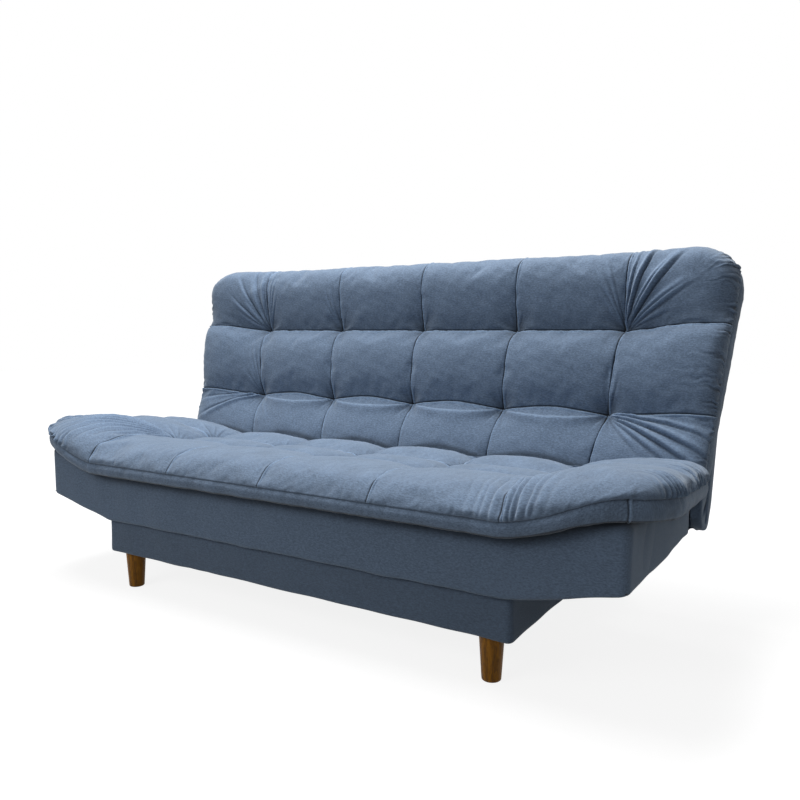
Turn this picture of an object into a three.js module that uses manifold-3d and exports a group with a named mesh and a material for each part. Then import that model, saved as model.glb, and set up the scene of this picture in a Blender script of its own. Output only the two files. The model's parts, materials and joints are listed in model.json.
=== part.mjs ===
// Futon sofa bed: a boat-shaped seat box on a low plinth, and a backrest that reclines flat on two
// ratchet hinges. Millimetres, Z up, -Y is the front, X runs along the seat. The origin is at the
// floor, under the middle of the whole sofa.

import * as THREE from 'three';
import { mergeVertices } from 'three/addons/utils/BufferGeometryUtils.js';
import Module from 'manifold-3d';

const wasm = await Module();
wasm.setup();

// ---------------------------------------------------------------- Driving dimensions

// Shared by every piece
const FIT = 0.3; // clearance where one piece seats on another
const COVER = 3; // fabric with its thin foam lining
const CLOTH = 1.5; // non-woven bottom cloth
const PLATE = 3.5; // steel of the hinge arms

// Feet
const FOOT_HEIGHT = 113;
const FOOT_TOP_RADIUS = 28;
const FOOT_BOTTOM_RADIUS = 21;
const FOOT_EDGE_RADIUS = 4;
const FOOT_INSET_X = 46; // foot axis in from the plinth's end
const FOOT_INSET_Y = 40; // foot axis in from the plinth's front and rear
const STUD_RADIUS = 4;
const STUD_LENGTH = 45;

// Plinth
const BASE_LENGTH = 1206;
const BASE_DEPTH = 740;
const BASE_HEIGHT = 84;
const BASE_CORNER_RADIUS = 10;
const BASE_BOARD = 18;
const DECK = 12;
const BLOCK = 60;
const BLOCK_CHAMFER = 22;

// Seat box
const SEAT_LENGTH = 1700;
const SEAT_DEPTH = 518;
const SEAT_OVERHANG = 15; // fascia in front of the plinth
const SEAT_FRONT_HEIGHT = 180;
const SEAT_REAR_HEIGHT = 138;
const SEAT_END_RISE = 56; // how far the underside climbs from the plinth to each end
const SEAT_CORNER_RADIUS = 14;
const RAIL = 20;
const BRACE_SPACING = 300;
const BRACE_DROP = 25; // room for the webbing to give

// Backrest frame, in its own upright frame: Z up the back, -Y towards the sitter
const RECLINE = 18.6; // degrees from upright in the sofa position
const BACK_FRAME_BELOW = 108; // lower end below the hinge axis
const BACK_FRAME_ABOVE = 613; // upper end above the hinge axis
const BACK_FRAME_FRONT = 34; // front of the stiles behind the hinge axis
const BACK_FRAME_DEPTH = 63;
const BACK_LOWER_RADIUS = 40;
const BACK_UPPER_RADIUS = 28;
const STILE = 20;
const TOE_FRONT = 25; // the stile's foot, which carries the hinge, stands this far before its axis
const TOE_TOP = 34;
const TOE_RADIUS = 50;
const TOP_RAIL_HEIGHT = 46;
const LOWER_RAIL_START = 45;
const LOWER_RAIL_HEIGHT = 50;
const BOTTOM_BOARD = 12;
const INNER_STILE_OFFSET = 280;

// Webbing
const STRAP_WIDTH = 50;
const STRAP = 2;
const STRAP_BITE = 0.1; // how far a strap presses into the one it crosses
const STRAP_MARGIN = 8; // flat length on each side of a crossing
const CROSS_STRAP_SPACING = 182;
const CROSS_STRAPS = 9;
const SEAT_LONG_STRAPS = 3;
const SEAT_LONG_STRAP_SPACING = 120;
const BACK_LONG_STRAPS = 4;
const BACK_LONG_STRAP_SPACING = 118;

// Hinges
const PIVOT_BEHIND_SEAT = 128; // hinge axis behind the seat box
const PIVOT_ABOVE_SEAT = 4.7; // hinge axis above the seat box's rear top edge
const WHEEL = 5.5;
const WHEEL_TEETH = 24;
const WHEEL_TIP_RADIUS = 22;
const WHEEL_ROOT_RADIUS = 18.5;
const RING_OUTER_RADIUS = 30;
const RING_INNER_RADIUS = 26;
const TONGUE_SPAN = 80; // degrees of the ring from each sprung tongue's root to its nose
const TONGUE_ROOT = 44; // degrees over which a tongue's root joins the ring
const TONGUE = 1.6;
const TOOTH_RAMP = 0.8; // share of each tooth's pitch that is ramp
const ARM_WIDTH = 26;
const ARM_DROP = 65; // how far the seat arm dips under the back pad's lower lip
const ARM_KNEE = 19; // the arm's knee in front of the hinge axis
const ARM_CLIMB = 0.16; // slope of the arm along the end rail
const ARM_ROUNDING = 0.9; // share of the arm's half width that rounds its ends and bends
const RIVET_RADIUS = 5;
const RIVET_HEAD_RADIUS = 9;
const RIVET_HEAD = 3.5;
const BOLT_RADIUS = 3.9;
const BOLT_HEAD_RADIUS = 9;
const BOLT_HEAD = 4;
const BOLT_GRIP = 14; // depth in the wood
const BOLT_START = 40; // first bolt from the bend of its arm
const BOLT_SPACING = 66;

// Pads
const SEAT_PAD_SIDE = 82; // how far the pad stands out over the seat box's ends, at the front
const SEAT_PAD_REAR_SIDE = 38;
const SEAT_PAD_THICKNESS = 84;
const SEAT_PAD_NOSE = 50; // how far the front roll stands out over the fascia
const SEAT_PAD_LIP = 57; // how far the roll droops below the seat box's top
const SEAT_PAD_TAIL = 33; // how far the pad runs past the seat box at the rear
const SEAT_PAD_CORNER = 215;
const SEAT_PAD_REAR_CORNER = 90;
const SEAT_PAD_ROUNDING = 34;
const BACK_PAD_SIDE = 47; // how far the pad stands out past the backrest's sides, at the top
const BACK_PAD_FOOT_SIDE = 23;
const BACK_PAD_FRONT = 80; // front of the pad before the hinge axis
const BACK_PAD_LIP = 46; // how far the lower lip hangs below the hinge axis
const BACK_PAD_OVER = 20; // how far the pad stands above the frame
const BACK_PAD_CORNER = 120;
const BACK_PAD_FOOT_CORNER = 70;
const BACK_PAD_ROUNDING = 42;
const RELIEF = 4; // room between the hinge housing and the pad

// ---------------------------------------------------------------- Derived places

const BASE_TOP = FOOT_HEIGHT + BASE_HEIGHT;
const SEAT_BOTTOM = BASE_TOP + FIT;
const SEAT_FRONT = -SEAT_OVERHANG;
const SEAT_REAR = SEAT_FRONT + SEAT_DEPTH;
const SEAT_END = SEAT_LENGTH / 2;
const KNUCKLE = BASE_LENGTH / 2; // where the seat box's underside starts to climb

const SEAT_RAIL_END = SEAT_END - COVER - FIT;
const SEAT_RAIL_INNER = SEAT_RAIL_END - RAIL;
const SEAT_RAIL_FRONT = SEAT_FRONT + COVER + FIT;
const SEAT_RAIL_REAR = SEAT_REAR - COVER - FIT;

const PIVOT_Y = SEAT_REAR + PIVOT_BEHIND_SEAT;
const PIVOT_Z = SEAT_BOTTOM + SEAT_REAR_HEIGHT + PIVOT_ABOVE_SEAT;

// The hinge stack, outwards from the seat box's side rail
const SEAT_ARM_OUTER = SEAT_RAIL_INNER - FIT;
const SEAT_ARM_INNER = SEAT_ARM_OUTER - PLATE;
const WHEEL_OUTER = SEAT_ARM_OUTER + WHEEL;
const BACK_ARM_INNER = WHEEL_OUTER + FIT;
const BACK_ARM_OUTER = BACK_ARM_INNER + PLATE;
const STILE_INNER = BACK_ARM_OUTER + FIT;
const BACK_FRAME_END = STILE_INNER + STILE;
const BACK_END = BACK_FRAME_END + FIT + COVER;

const WEB_HALF = STRAP - STRAP_BITE; // half the height of the woven lattice
const WEB_CENTRE = FIT + WEB_HALF; // lattice mid-plane above the wood it is stapled to
const WEB_TOP = WEB_CENTRE + WEB_HALF;

const seatSlope = (SEAT_FRONT_HEIGHT - SEAT_REAR_HEIGHT) / SEAT_DEPTH;
const seatTop = (x, y) => SEAT_BOTTOM + SEAT_FRONT_HEIGHT - seatSlope * (y - SEAT_FRONT);
const seatBottom = (x) => {
  const pastKnuckle = Math.max(0, Math.abs(x) - KNUCKLE);
  return SEAT_BOTTOM + (SEAT_END_RISE * pastKnuckle) / (SEAT_END - KNUCKLE);
};

// ---------------------------------------------------------------- Materials

const finishes = {
  upholstery: { color: 0x52647c, roughness: 0.9, metalness: 0 },
  softwood: { color: 0xc9a26b, roughness: 0.75, metalness: 0 },
  plywood: { color: 0xb78d5a, roughness: 0.7, metalness: 0 },
  stained_wood: { color: 0x8a5423, roughness: 0.45, metalness: 0 },
  webbing: { color: 0x2c2c30, roughness: 0.85, metalness: 0 },
  bottom_cloth: { color: 0x18181a, roughness: 0.95, metalness: 0 },
  steel: { color: 0x8d9095, roughness: 0.35, metalness: 1 },
};
const material = Object.fromEntries(
  Object.entries(finishes).map(([name, finish]) => {
    return [name, new THREE.MeshStandardMaterial({ name, ...finish })];
  }),
);

// ---------------------------------------------------------------- Modelling helpers

function solidFrom(geometry) {
  geometry.deleteAttribute('normal');
  geometry.deleteAttribute('uv');
  const merged = mergeVertices(geometry, 1e-3);
  const mesh = new wasm.Mesh({
    numProp: 3,
    vertProperties: merged.attributes.position.array,
    triVerts: new Uint32Array(merged.index.array),
  });
  return new wasm.Manifold(mesh);
}

function geometryFrom(solid) {
  const { vertProperties, triVerts } = solid.getMesh();
  const geometry = new THREE.BufferGeometry();
  geometry.setAttribute('position', new THREE.BufferAttribute(vertProperties, 3));
  geometry.setIndex(new THREE.BufferAttribute(triVerts, 1));
  geometry.computeVertexNormals();
  return geometry;
}

function join(first, ...others) {
  return geometryFrom(others.reduce((sum, other) => sum.add(solidFrom(other)), solidFrom(first)));
}

function cut(body, ...cutters) {
  return geometryFrom(cutters.reduce((rest, cutter) => rest.subtract(solidFrom(cutter)), solidFrom(body)));
}

function common(first, second) {
  return geometryFrom(solidFrom(first).intersect(solidFrom(second)));
}

// A box given by its limits along X, Y and Z.
function block([x0, x1], [y0, y1], [z0, z1]) {
  const geometry = new THREE.BoxGeometry(x1 - x0, y1 - y0, z1 - z0);
  return geometry.translate((x0 + x1) / 2, (y0 + y1) / 2, (z0 + z1) / 2);
}

// An outline from corners [x, y, radius]; a corner without a radius stays sharp.
function outline(corners, steps = 6) {
  const shape = new THREE.Shape();
  corners.forEach(([x, y, radius = 0], index) => {
    const corner = new THREE.Vector2(x, y);
    if (radius === 0) {
      index === 0 ? shape.moveTo(x, y) : shape.lineTo(x, y);
      return;
    }
    const towards = ([px, py]) => new THREE.Vector2(px, py).sub(corner).normalize();
    const back = towards(corners.at(index - 1));
    const ahead = towards(corners[(index + 1) % corners.length]);
    const halfAngle = Math.acos(THREE.MathUtils.clamp(back.dot(ahead), -1, 1)) / 2;
    const centre = back.clone().add(ahead).normalize();
    centre.multiplyScalar(radius / Math.sin(halfAngle)).add(corner);
    const start = back.multiplyScalar(radius / Math.tan(halfAngle)).add(corner).sub(centre);
    const end = ahead.multiplyScalar(radius / Math.tan(halfAngle)).add(corner).sub(centre);
    const sweep = Math.atan2(start.cross(end), start.dot(end));
    for (let step = 0; step <= steps; step++) {
      const angle = start.angle() + (sweep * step) / steps;
      const px = centre.x + radius * Math.cos(angle);
      const py = centre.y + radius * Math.sin(angle);
      index === 0 && step === 0 ? shape.moveTo(px, py) : shape.lineTo(px, py);
    }
  });
  return shape;
}

function circle(x, y, radius) {
  return new THREE.Shape().absarc(x, y, radius, 0, 2 * Math.PI);
}

// A rectangle across the middle of the sofa with rounded corners, seen from above.
function roundedPlan(end, [front, rear], radius) {
  return outline([
    [end, front, radius],
    [end, rear, radius],
    [-end, rear, radius],
    [-end, front, radius],
  ]);
}

function extrude(shape, depth) {
  return new THREE.ExtrudeGeometry(shape, { depth, bevelEnabled: false, curveSegments: 16 });
}

// The outline's x and y become Y and Z.
function extrudeAlongX(shape, [x0, x1]) {
  return extrude(shape, x1 - x0).rotateX(Math.PI / 2).rotateZ(Math.PI / 2).translate(x0, 0, 0);
}

// The outline's x and y become X and Z.
function extrudeAlongY(shape, [y0, y1]) {
  return extrude(shape, y1 - y0).rotateX(Math.PI / 2).translate(0, y1, 0);
}

function extrudeAlongZ(shape, [z0, z1]) {
  return extrude(shape, z1 - z0).translate(0, 0, z0);
}

// A turned piece about the X axis, from [distance along X, radius] points.
function turnAlongX(profile, segments = 16) {
  const points = profile.map(([along, radius]) => new THREE.Vector2(radius, along));
  return new THREE.LatheGeometry(points, segments).rotateZ(-Math.PI / 2);
}

// A rod about the X axis at y, z.
function rodAlongX([x0, x1], radius, y, z) {
  return turnAlongX([[x0, 0], [x0, radius], [x1, radius], [x1, 0]]).translate(0, y, z);
}

const group = new THREE.Group();
group.name = 'futon_sofa_bed';

function add(parent, name, geometry, finish) {
  const mesh = new THREE.Mesh(geometry, material[finish]);
  mesh.name = name;
  parent.add(mesh);
}

// The same geometry for the left end of the sofa, with its faces turned back out.
function mirrored(geometry) {
  const flipped = geometry.index ? geometry.toNonIndexed() : geometry.clone();
  flipped.scale(-1, 1, 1);
  const position = flipped.attributes.position;
  for (let i = 0; i < position.count; i += 3) {
    const kept = new THREE.Vector3().fromBufferAttribute(position, i);
    const moved = new THREE.Vector3().fromBufferAttribute(position, i + 1);
    position.setXYZ(i, moved.x, moved.y, moved.z);
    position.setXYZ(i + 1, kept.x, kept.y, kept.z);
  }
  flipped.computeVertexNormals();
  return flipped;
}

function addPair(parent, name, geometry, finish) {
  add(parent, `${name}_right`, geometry, finish);
  add(parent, `${name}_left`, mirrored(geometry), finish);
}

// ---------------------------------------------------------------- Plinth and feet

const footX = KNUCKLE - FOOT_INSET_X;
const footFrontY = FOOT_INSET_Y;
const footRearY = BASE_DEPTH - FOOT_INSET_Y;

function addFeet() {
  const top = FOOT_HEIGHT - FIT;
  const edge = new THREE.Path();
  edge.moveTo(0, 0);
  edge.lineTo(FOOT_BOTTOM_RADIUS - FOOT_EDGE_RADIUS, 0);
  edge.quadraticCurveTo(FOOT_BOTTOM_RADIUS, 0, FOOT_BOTTOM_RADIUS, FOOT_EDGE_RADIUS);
  edge.lineTo(FOOT_TOP_RADIUS, top - CLOTH);
  edge.lineTo(FOOT_TOP_RADIUS, top);
  edge.lineTo(STUD_RADIUS, top);
  edge.lineTo(STUD_RADIUS, top + STUD_LENGTH);
  edge.lineTo(0, top + STUD_LENGTH);
  const foot = new THREE.LatheGeometry(edge.getPoints(3), 24).rotateX(Math.PI / 2);
  addPair(group, 'foot_front', foot.clone().translate(footX, footFrontY, 0), 'stained_wood');
  addPair(group, 'foot_rear', foot.clone().translate(footX, footRearY, 0), 'stained_wood');
}

function addBase() {
  const end = KNUCKLE - COVER - FIT;
  const front = COVER + FIT;
  const rear = BASE_DEPTH - COVER - FIT;
  const boards = [FOOT_HEIGHT, BASE_TOP - DECK - FIT];
  const innerFront = front + BASE_BOARD + FIT;
  const innerRear = rear - BASE_BOARD - FIT;
  const innerEnd = end - BASE_BOARD;

  // Everything under the fabric is rounded at the plinth's corners as the fabric is
  const core = roundedPlan(end, [front, rear], BASE_CORNER_RADIUS - COVER - FIT);
  const within = (y, z) => common(extrudeAlongZ(core, z), block([-KNUCKLE, KNUCKLE], y, z));

  add(group, 'base_front_board', within([0, front + BASE_BOARD], boards), 'softwood');
  add(group, 'base_rear_board', within([rear - BASE_BOARD, BASE_DEPTH], boards), 'softwood');
  addPair(group, 'base_end_board', block([innerEnd, end], [innerFront, innerRear], boards), 'softwood');
  const centre = [-BASE_BOARD / 2, BASE_BOARD / 2];
  add(group, 'base_centre_board', block(centre, [innerFront, innerRear], boards), 'softwood');
  add(group, 'base_deck', within([0, BASE_DEPTH], [BASE_TOP - DECK, BASE_TOP]), 'plywood');

  // Corner blocks, chamfered towards the middle of the plinth and bored for the feet
  const blockOuter = innerEnd - FIT;
  const cornerBlock = (outerY, footY) => {
    const innerY = outerY + BLOCK * Math.sign(footY - outerY);
    const chamferY = innerY - BLOCK_CHAMFER * Math.sign(footY - outerY);
    const corners = [
      [blockOuter, outerY],
      [blockOuter, innerY],
      [blockOuter - BLOCK + BLOCK_CHAMFER, innerY],
      [blockOuter - BLOCK, chamferY],
      [blockOuter - BLOCK, outerY],
    ];
    const shape = outline(corners);
    shape.holes.push(circle(footX, footY, STUD_RADIUS + FIT));
    return extrudeAlongZ(shape, boards);
  };
  addPair(group, 'base_front_block', cornerBlock(innerFront, footFrontY), 'softwood');
  addPair(group, 'base_rear_block', cornerBlock(innerRear, footRearY), 'softwood');

  // Fabric around the boards, open above and below
  const lining = [COVER, BASE_DEPTH - COVER];
  const band = roundedPlan(KNUCKLE, [0, BASE_DEPTH], BASE_CORNER_RADIUS);
  band.holes.push(roundedPlan(KNUCKLE - COVER, lining, BASE_CORNER_RADIUS - COVER));
  add(group, 'base_cover', extrudeAlongZ(band, [FOOT_HEIGHT, BASE_TOP]), 'upholstery');

  // Bottom cloth, cut out round the feet
  const cloth = core.clone();
  for (const x of [footX, -footX]) {
    for (const y of [footFrontY, footRearY]) {
      cloth.holes.push(circle(x, y, FOOT_TOP_RADIUS + 3 * FIT));
    }
  }
  const clothTop = FOOT_HEIGHT - FIT;
  add(group, 'base_bottom_cloth', extrudeAlongZ(cloth, [clothTop - CLOTH, clothTop]), 'bottom_cloth');
}

// ---------------------------------------------------------------- Seat box

// A panel of the seat box whose lower and upper faces follow two surfaces.
function seatPanel([x0, x1], [y0, y1], lower = seatBottom, upper = seatTop) {
  const knuckles = [-KNUCKLE, KNUCKLE].filter((x) => x > x0 && x < x1);
  const shape = outline([...[x0, ...knuckles, x1].map((x) => [x, 0]), [x1, 1], [x0, 1]]);
  const geometry = extrudeAlongY(shape, [y0, y1]);
  const position = geometry.attributes.position;
  for (let i = 0; i < position.count; i++) {
    const x = position.getX(i);
    const y = position.getY(i);
    position.setZ(i, THREE.MathUtils.lerp(lower(x, y), upper(x, y), position.getZ(i)));
  }
  return geometry;
}

// The slot that lets a hinge arm out through the rear of the seat box.
function seatArmSlot() {
  const top = PIVOT_Z - ARM_DROP + ARM_WIDTH / 2 + FIT;
  const across = [SEAT_ARM_INNER - FIT, SEAT_ARM_OUTER + FIT];
  return block(across, [SEAT_RAIL_REAR - RAIL - 1, SEAT_REAR + 1], [SEAT_BOTTOM - 1, top]);
}

// The seat box's rounded plan outline, drawn in by inset.
function seatPlan(inset) {
  const depth = [SEAT_FRONT + inset, SEAT_REAR - inset];
  return roundedPlan(SEAT_END - inset, depth, SEAT_CORNER_RADIUS - inset);
}

function addSeatBox() {
  const slots = [seatArmSlot(), mirrored(seatArmSlot())];
  const frontRail = [SEAT_RAIL_FRONT, SEAT_RAIL_FRONT + RAIL];
  const rearRail = [SEAT_RAIL_REAR - RAIL, SEAT_RAIL_REAR];
  const between = [frontRail[1] + FIT, rearRail[0] - FIT];
  const full = [-SEAT_RAIL_END, SEAT_RAIL_END];
  const heights = [SEAT_BOTTOM - 1, SEAT_BOTTOM + SEAT_FRONT_HEIGHT + 1];
  const withinCover = (panel) => common(panel, extrudeAlongZ(seatPlan(COVER + FIT), heights));

  add(group, 'seat_front_rail', withinCover(seatPanel(full, frontRail)), 'softwood');
  add(group, 'seat_rear_rail', cut(withinCover(seatPanel(full, rearRail)), ...slots), 'softwood');
  const sideRail = cut(seatPanel([SEAT_RAIL_INNER, SEAT_RAIL_END], between), ...seatBoltHoles());
  addPair(group, 'seat_end_rail', sideRail, 'softwood');

  const braceTop = (x, y) => seatTop(x, y) - BRACE_DROP;
  const braceX = [BRACE_SPACING - RAIL / 2, BRACE_SPACING + RAIL / 2];
  const brace = seatPanel(braceX, between, seatBottom, braceTop);
  addPair(group, 'seat_brace', brace, 'softwood');

  // Cloth under each overhanging end
  const clothTop = (x) => seatBottom(x) - FIT;
  const clothBottom = (x) => clothTop(x) - CLOTH;
  const under = [KNUCKLE + COVER, SEAT_RAIL_END];
  const cloth = seatPanel(under, [frontRail[0], rearRail[1]], clothBottom, clothTop);
  addPair(group, 'seat_end_cloth', cloth, 'bottom_cloth');

  // Fabric round the box: a rounded band trimmed to the box's sloping top and boat-shaped underside
  const band = seatPlan(0);
  band.holes.push(seatPlan(COVER));
  const boat = seatPanel([-SEAT_END - 1, SEAT_END + 1], [SEAT_FRONT - 1, SEAT_REAR + 1]);
  add(group, 'seat_cover', cut(common(extrudeAlongZ(band, heights), boat), ...slots), 'upholstery');
}

// ---------------------------------------------------------------- Webbing

// One strap along X that passes over and under the straps it meets at the given places.
function strap([x0, x1], crossings, y, firstSide) {
  const offset = STRAP / 2 - STRAP_BITE;
  const reach = STRAP_WIDTH / 2 + STRAP_MARGIN;
  const sideAt = (index) => firstSide * (index % 2 === 0 ? offset : -offset);
  const path = crossings.flatMap((x, index) => [[x - reach, sideAt(index)], [x + reach, sideAt(index)]]);
  path.unshift([x0, sideAt(0)]);
  path.push([x1, sideAt(crossings.length - 1)]);
  const lower = path.map(([x, z]) => [x, z - STRAP / 2]);
  const upper = path.map(([x, z]) => [x, z + STRAP / 2]).reverse();
  return extrudeAlongY(outline([...lower, ...upper]), [y - STRAP_WIDTH / 2, y + STRAP_WIDTH / 2]);
}

// Elastic straps woven over and under each other. They press on each other where they cross, so the
// lattice is one piece. It lies in the XY plane.
function webbing(width, depth, longStraps, longSpacing) {
  const spread = (count, spacing) => {
    return Array.from({ length: count }, (_, i) => (i - (count - 1) / 2) * spacing);
  };
  const columns = spread(CROSS_STRAPS, CROSS_STRAP_SPACING);
  const rows = spread(longStraps, longSpacing);
  const long = rows.map((y, row) => {
    const side = row % 2 === 0 ? 1 : -1;
    return strap([-width / 2, width / 2], columns, y, side);
  });
  const crossing = columns.map((x, column) => {
    const side = column % 2 === 0 ? -1 : 1;
    return strap([-depth / 2, depth / 2], rows, -x, side).rotateZ(Math.PI / 2);
  });
  return join(...long, ...crossing);
}

function addSeatWebbing() {
  const depth = SEAT_RAIL_REAR - SEAT_RAIL_FRONT;
  const middle = (SEAT_RAIL_FRONT + SEAT_RAIL_REAR) / 2;
  const lattice = webbing(2 * SEAT_RAIL_END, depth, SEAT_LONG_STRAPS, SEAT_LONG_STRAP_SPACING);
  lattice.translate(0, 0, WEB_CENTRE).rotateX(-Math.atan(seatSlope));
  lattice.translate(0, middle, seatTop(0, middle));
  add(group, 'seat_webbing', lattice, 'webbing');
}

// ---------------------------------------------------------------- Backrest frame

const backrest = new THREE.Group();
backrest.position.set(0, PIVOT_Y, PIVOT_Z);
backrest.rotation.x = THREE.MathUtils.degToRad(-RECLINE);
group.add(backrest);

const FRAME_REAR = BACK_FRAME_FRONT + BACK_FRAME_DEPTH;
const FRAME_SKIN = COVER + FIT;
const backFrame = {
  front: BACK_FRAME_FRONT,
  rear: FRAME_REAR - FRAME_SKIN,
  bottom: -BACK_FRAME_BELOW + FRAME_SKIN,
  top: BACK_FRAME_ABOVE - FRAME_SKIN,
};

// The side view of the backrest frame, rounded at the rear, drawn in by inset.
function backSection(inset, front = BACK_FRAME_FRONT) {
  return outline([
    [front, -BACK_FRAME_BELOW + inset],
    [FRAME_REAR - inset, -BACK_FRAME_BELOW + inset, BACK_LOWER_RADIUS - inset],
    [FRAME_REAR - inset, BACK_FRAME_ABOVE - inset, BACK_UPPER_RADIUS - inset],
    [front, BACK_FRAME_ABOVE - inset],
  ]);
}

// The side view of a stile and of the fabric over it, with the foot that reaches round the hinge.
function stileSection(inset) {
  return outline([
    [-TOE_FRONT, -BACK_FRAME_BELOW + inset, TOE_RADIUS],
    [FRAME_REAR - inset, -BACK_FRAME_BELOW + inset, BACK_LOWER_RADIUS - inset],
    [FRAME_REAR - inset, BACK_FRAME_ABOVE - inset, BACK_UPPER_RADIUS - inset],
    [BACK_FRAME_FRONT, BACK_FRAME_ABOVE - inset],
    [BACK_FRAME_FRONT, TOE_TOP],
    [-TOE_FRONT, TOE_TOP, TOE_FRONT / 2],
  ]);
}

function addBackFrame() {
  const { front, rear, bottom, top } = backFrame;
  const stile = extrudeAlongX(stileSection(FRAME_SKIN), [STILE_INNER, BACK_FRAME_END]);
  addPair(backrest, 'back_stile', cut(stile, ...backBoltHoles(), rivetRelief()), 'softwood');

  // Rails between the stiles, with their outer faces rounded as the stiles are
  const between = STILE_INNER - FIT;
  const span = extrudeAlongX(backSection(FRAME_SKIN), [-between, between]);
  const across = (half, z) => common(span.clone(), block([-half, half], [front, rear], z));
  const topRail = [top - TOP_RAIL_HEIGHT, top];
  const lowerRail = [LOWER_RAIL_START, LOWER_RAIL_START + LOWER_RAIL_HEIGHT];
  add(backrest, 'back_top_rail', across(between, topRail), 'softwood');

  // The lower rail's ends are notched from the front for the hinge arms and their bolt heads
  const notchX = [BACK_ARM_INNER - BOLT_HEAD - 2 * FIT, STILE_INNER];
  const notchRear = backArmY + ARM_WIDTH / 2 + FIT;
  const notch = block(notchX, [front - 1, notchRear], [lowerRail[0] - 1, lowerRail[1] + 1]);
  const rail = block([-between, between], [front, rear], lowerRail);
  add(backrest, 'back_lower_rail', cut(rail, notch, mirrored(notch)), 'softwood');

  // The bottom board stops short of the hinge arms, which swing past its ends
  const short = SEAT_ARM_INNER - ARM_WIDTH / 2;
  add(backrest, 'back_bottom_board', across(short, [bottom, bottom + BOTTOM_BOARD]), 'plywood');

  const innerStile = [INNER_STILE_OFFSET - STILE / 2, INNER_STILE_OFFSET + STILE / 2];
  const tall = [lowerRail[1] + FIT, topRail[0] - FIT];
  addPair(backrest, 'back_inner_stile', block(innerStile, [front, rear], tall), 'softwood');
}

function addBackWebbing() {
  const { front, top } = backFrame;
  const depth = top - LOWER_RAIL_START;
  const middle = (top + LOWER_RAIL_START) / 2;
  const lattice = webbing(2 * BACK_FRAME_END, depth, BACK_LONG_STRAPS, BACK_LONG_STRAP_SPACING);
  lattice.rotateX(Math.PI / 2).translate(0, front - WEB_CENTRE, middle);
  add(backrest, 'back_webbing', lattice, 'webbing');
}

// A fabric tray over the rear, sides, top and lower end of the backrest frame, open to the front,
// with cheeks over the feet of the stiles and a slot at each hinge for the seat's arm.
function addBackCover() {
  const outer = extrudeAlongX(backSection(0), [-BACK_END, BACK_END]);
  const lining = [-BACK_END + COVER, BACK_END - COVER];
  const inside = extrudeAlongX(backSection(COVER, BACK_FRAME_FRONT - 1), lining);
  const armRear = ARM_DROP + ARM_WIDTH / 2 + RELIEF;
  const across = [SEAT_ARM_INNER - RELIEF / 2, SEAT_ARM_OUTER + RELIEF / 2];
  const below = [-BACK_FRAME_BELOW - 1, -BACK_FRAME_BELOW / 2];
  const slot = block(across, [BACK_FRAME_FRONT - 1, armRear], below);
  const cheek = extrudeAlongX(stileSection(0), [BACK_END - COVER, BACK_END]);
  const tray = cut(outer, inside, slot, mirrored(slot));
  add(backrest, 'back_cover', join(tray, cheek, mirrored(cheek)), 'upholstery');
}

// ---------------------------------------------------------------- Ratchet hinges

// A flat bar with round ends that runs through [y, z] points, bored at the given places.
function bar(points, bores, x) {
  const half = ARM_WIDTH / 2;
  const path = points.map(([y, z]) => new THREE.Vector2(y, z));
  const heading = (index) => path[index + 1].clone().sub(path[index]).normalize();
  const last = path.length - 1;
  const edges = path.map((point, index) => {
    const before = heading(Math.max(index - 1, 0));
    const after = heading(Math.min(index, last - 1));
    const along = before.clone().add(after).normalize();
    const aside = new THREE.Vector2(-along.y, along.x).multiplyScalar(half / along.dot(after));
    const reach = along.multiplyScalar(index === 0 ? -half : index === last ? half : 0);
    return [point.clone().add(aside).add(reach), point.clone().sub(aside).add(reach)];
  });
  const rounded = (corner) => [corner.x, corner.y, half * ARM_ROUNDING];
  const left = edges.map(([corner]) => rounded(corner)).reverse();
  const right = edges.map(([, corner]) => rounded(corner));
  const shape = outline([...left, ...right]);
  shape.holes = bores.map(([y, z]) => circle(y, z, BOLT_RADIUS + FIT));
  return extrudeAlongX(shape, x);
}

// Seat arm, in the sofa's frame: from the hinge it dips under the back pad's lip, then runs forward
// inside the seat box's end rail.
const armKnee = [PIVOT_Y - ARM_KNEE, PIVOT_Z - ARM_DROP];
const armEntry = [SEAT_RAIL_REAR - RAIL - ARM_WIDTH / 2, PIVOT_Z - ARM_DROP];
const seatBolts = [0, 1].map((index) => {
  const along = BOLT_START + index * BOLT_SPACING;
  return [armEntry[0] - along, armEntry[1] + ARM_CLIMB * along];
});

// Back arm bolts, in the backrest's frame.
const backArmY = BACK_FRAME_FRONT + BACK_FRAME_DEPTH / 2;
const backKnee = [backArmY, RING_OUTER_RADIUS];
const backBolts = [0, 1].map((index) => [backArmY, backKnee[1] + BOLT_START + index * BOLT_SPACING]);

function seatBoltHoles() {
  const reach = [SEAT_RAIL_INNER - 1, SEAT_RAIL_INNER + BOLT_GRIP + 1];
  return seatBolts.map(([y, z]) => rodAlongX(reach, BOLT_RADIUS + FIT, y, z));
}

function backBoltHoles() {
  const reach = [STILE_INNER - 1, STILE_INNER + BOLT_GRIP + 1];
  return backBolts.map(([y, z]) => rodAlongX(reach, BOLT_RADIUS + FIT, y, z));
}

// A pocket in the stile for the rivet's outer head.
function rivetRelief() {
  return rodAlongX([STILE_INNER - 1, STILE_INNER + RIVET_HEAD + FIT], RIVET_HEAD_RADIUS + 1, 0, 0);
}

// The toothed wheel: each tooth has a long ramp and a steep face.
function wheelOutline() {
  const pitch = (2 * Math.PI) / WHEEL_TEETH;
  const at = (radius, angle) => [radius * Math.cos(angle), radius * Math.sin(angle)];
  const tooth = (_, index) => [
    at(WHEEL_TIP_RADIUS, index * pitch),
    at(WHEEL_ROOT_RADIUS, (index + TOOTH_RAMP) * pitch),
  ];
  return outline(Array.from({ length: WHEEL_TEETH }, tooth).flat());
}

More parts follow.
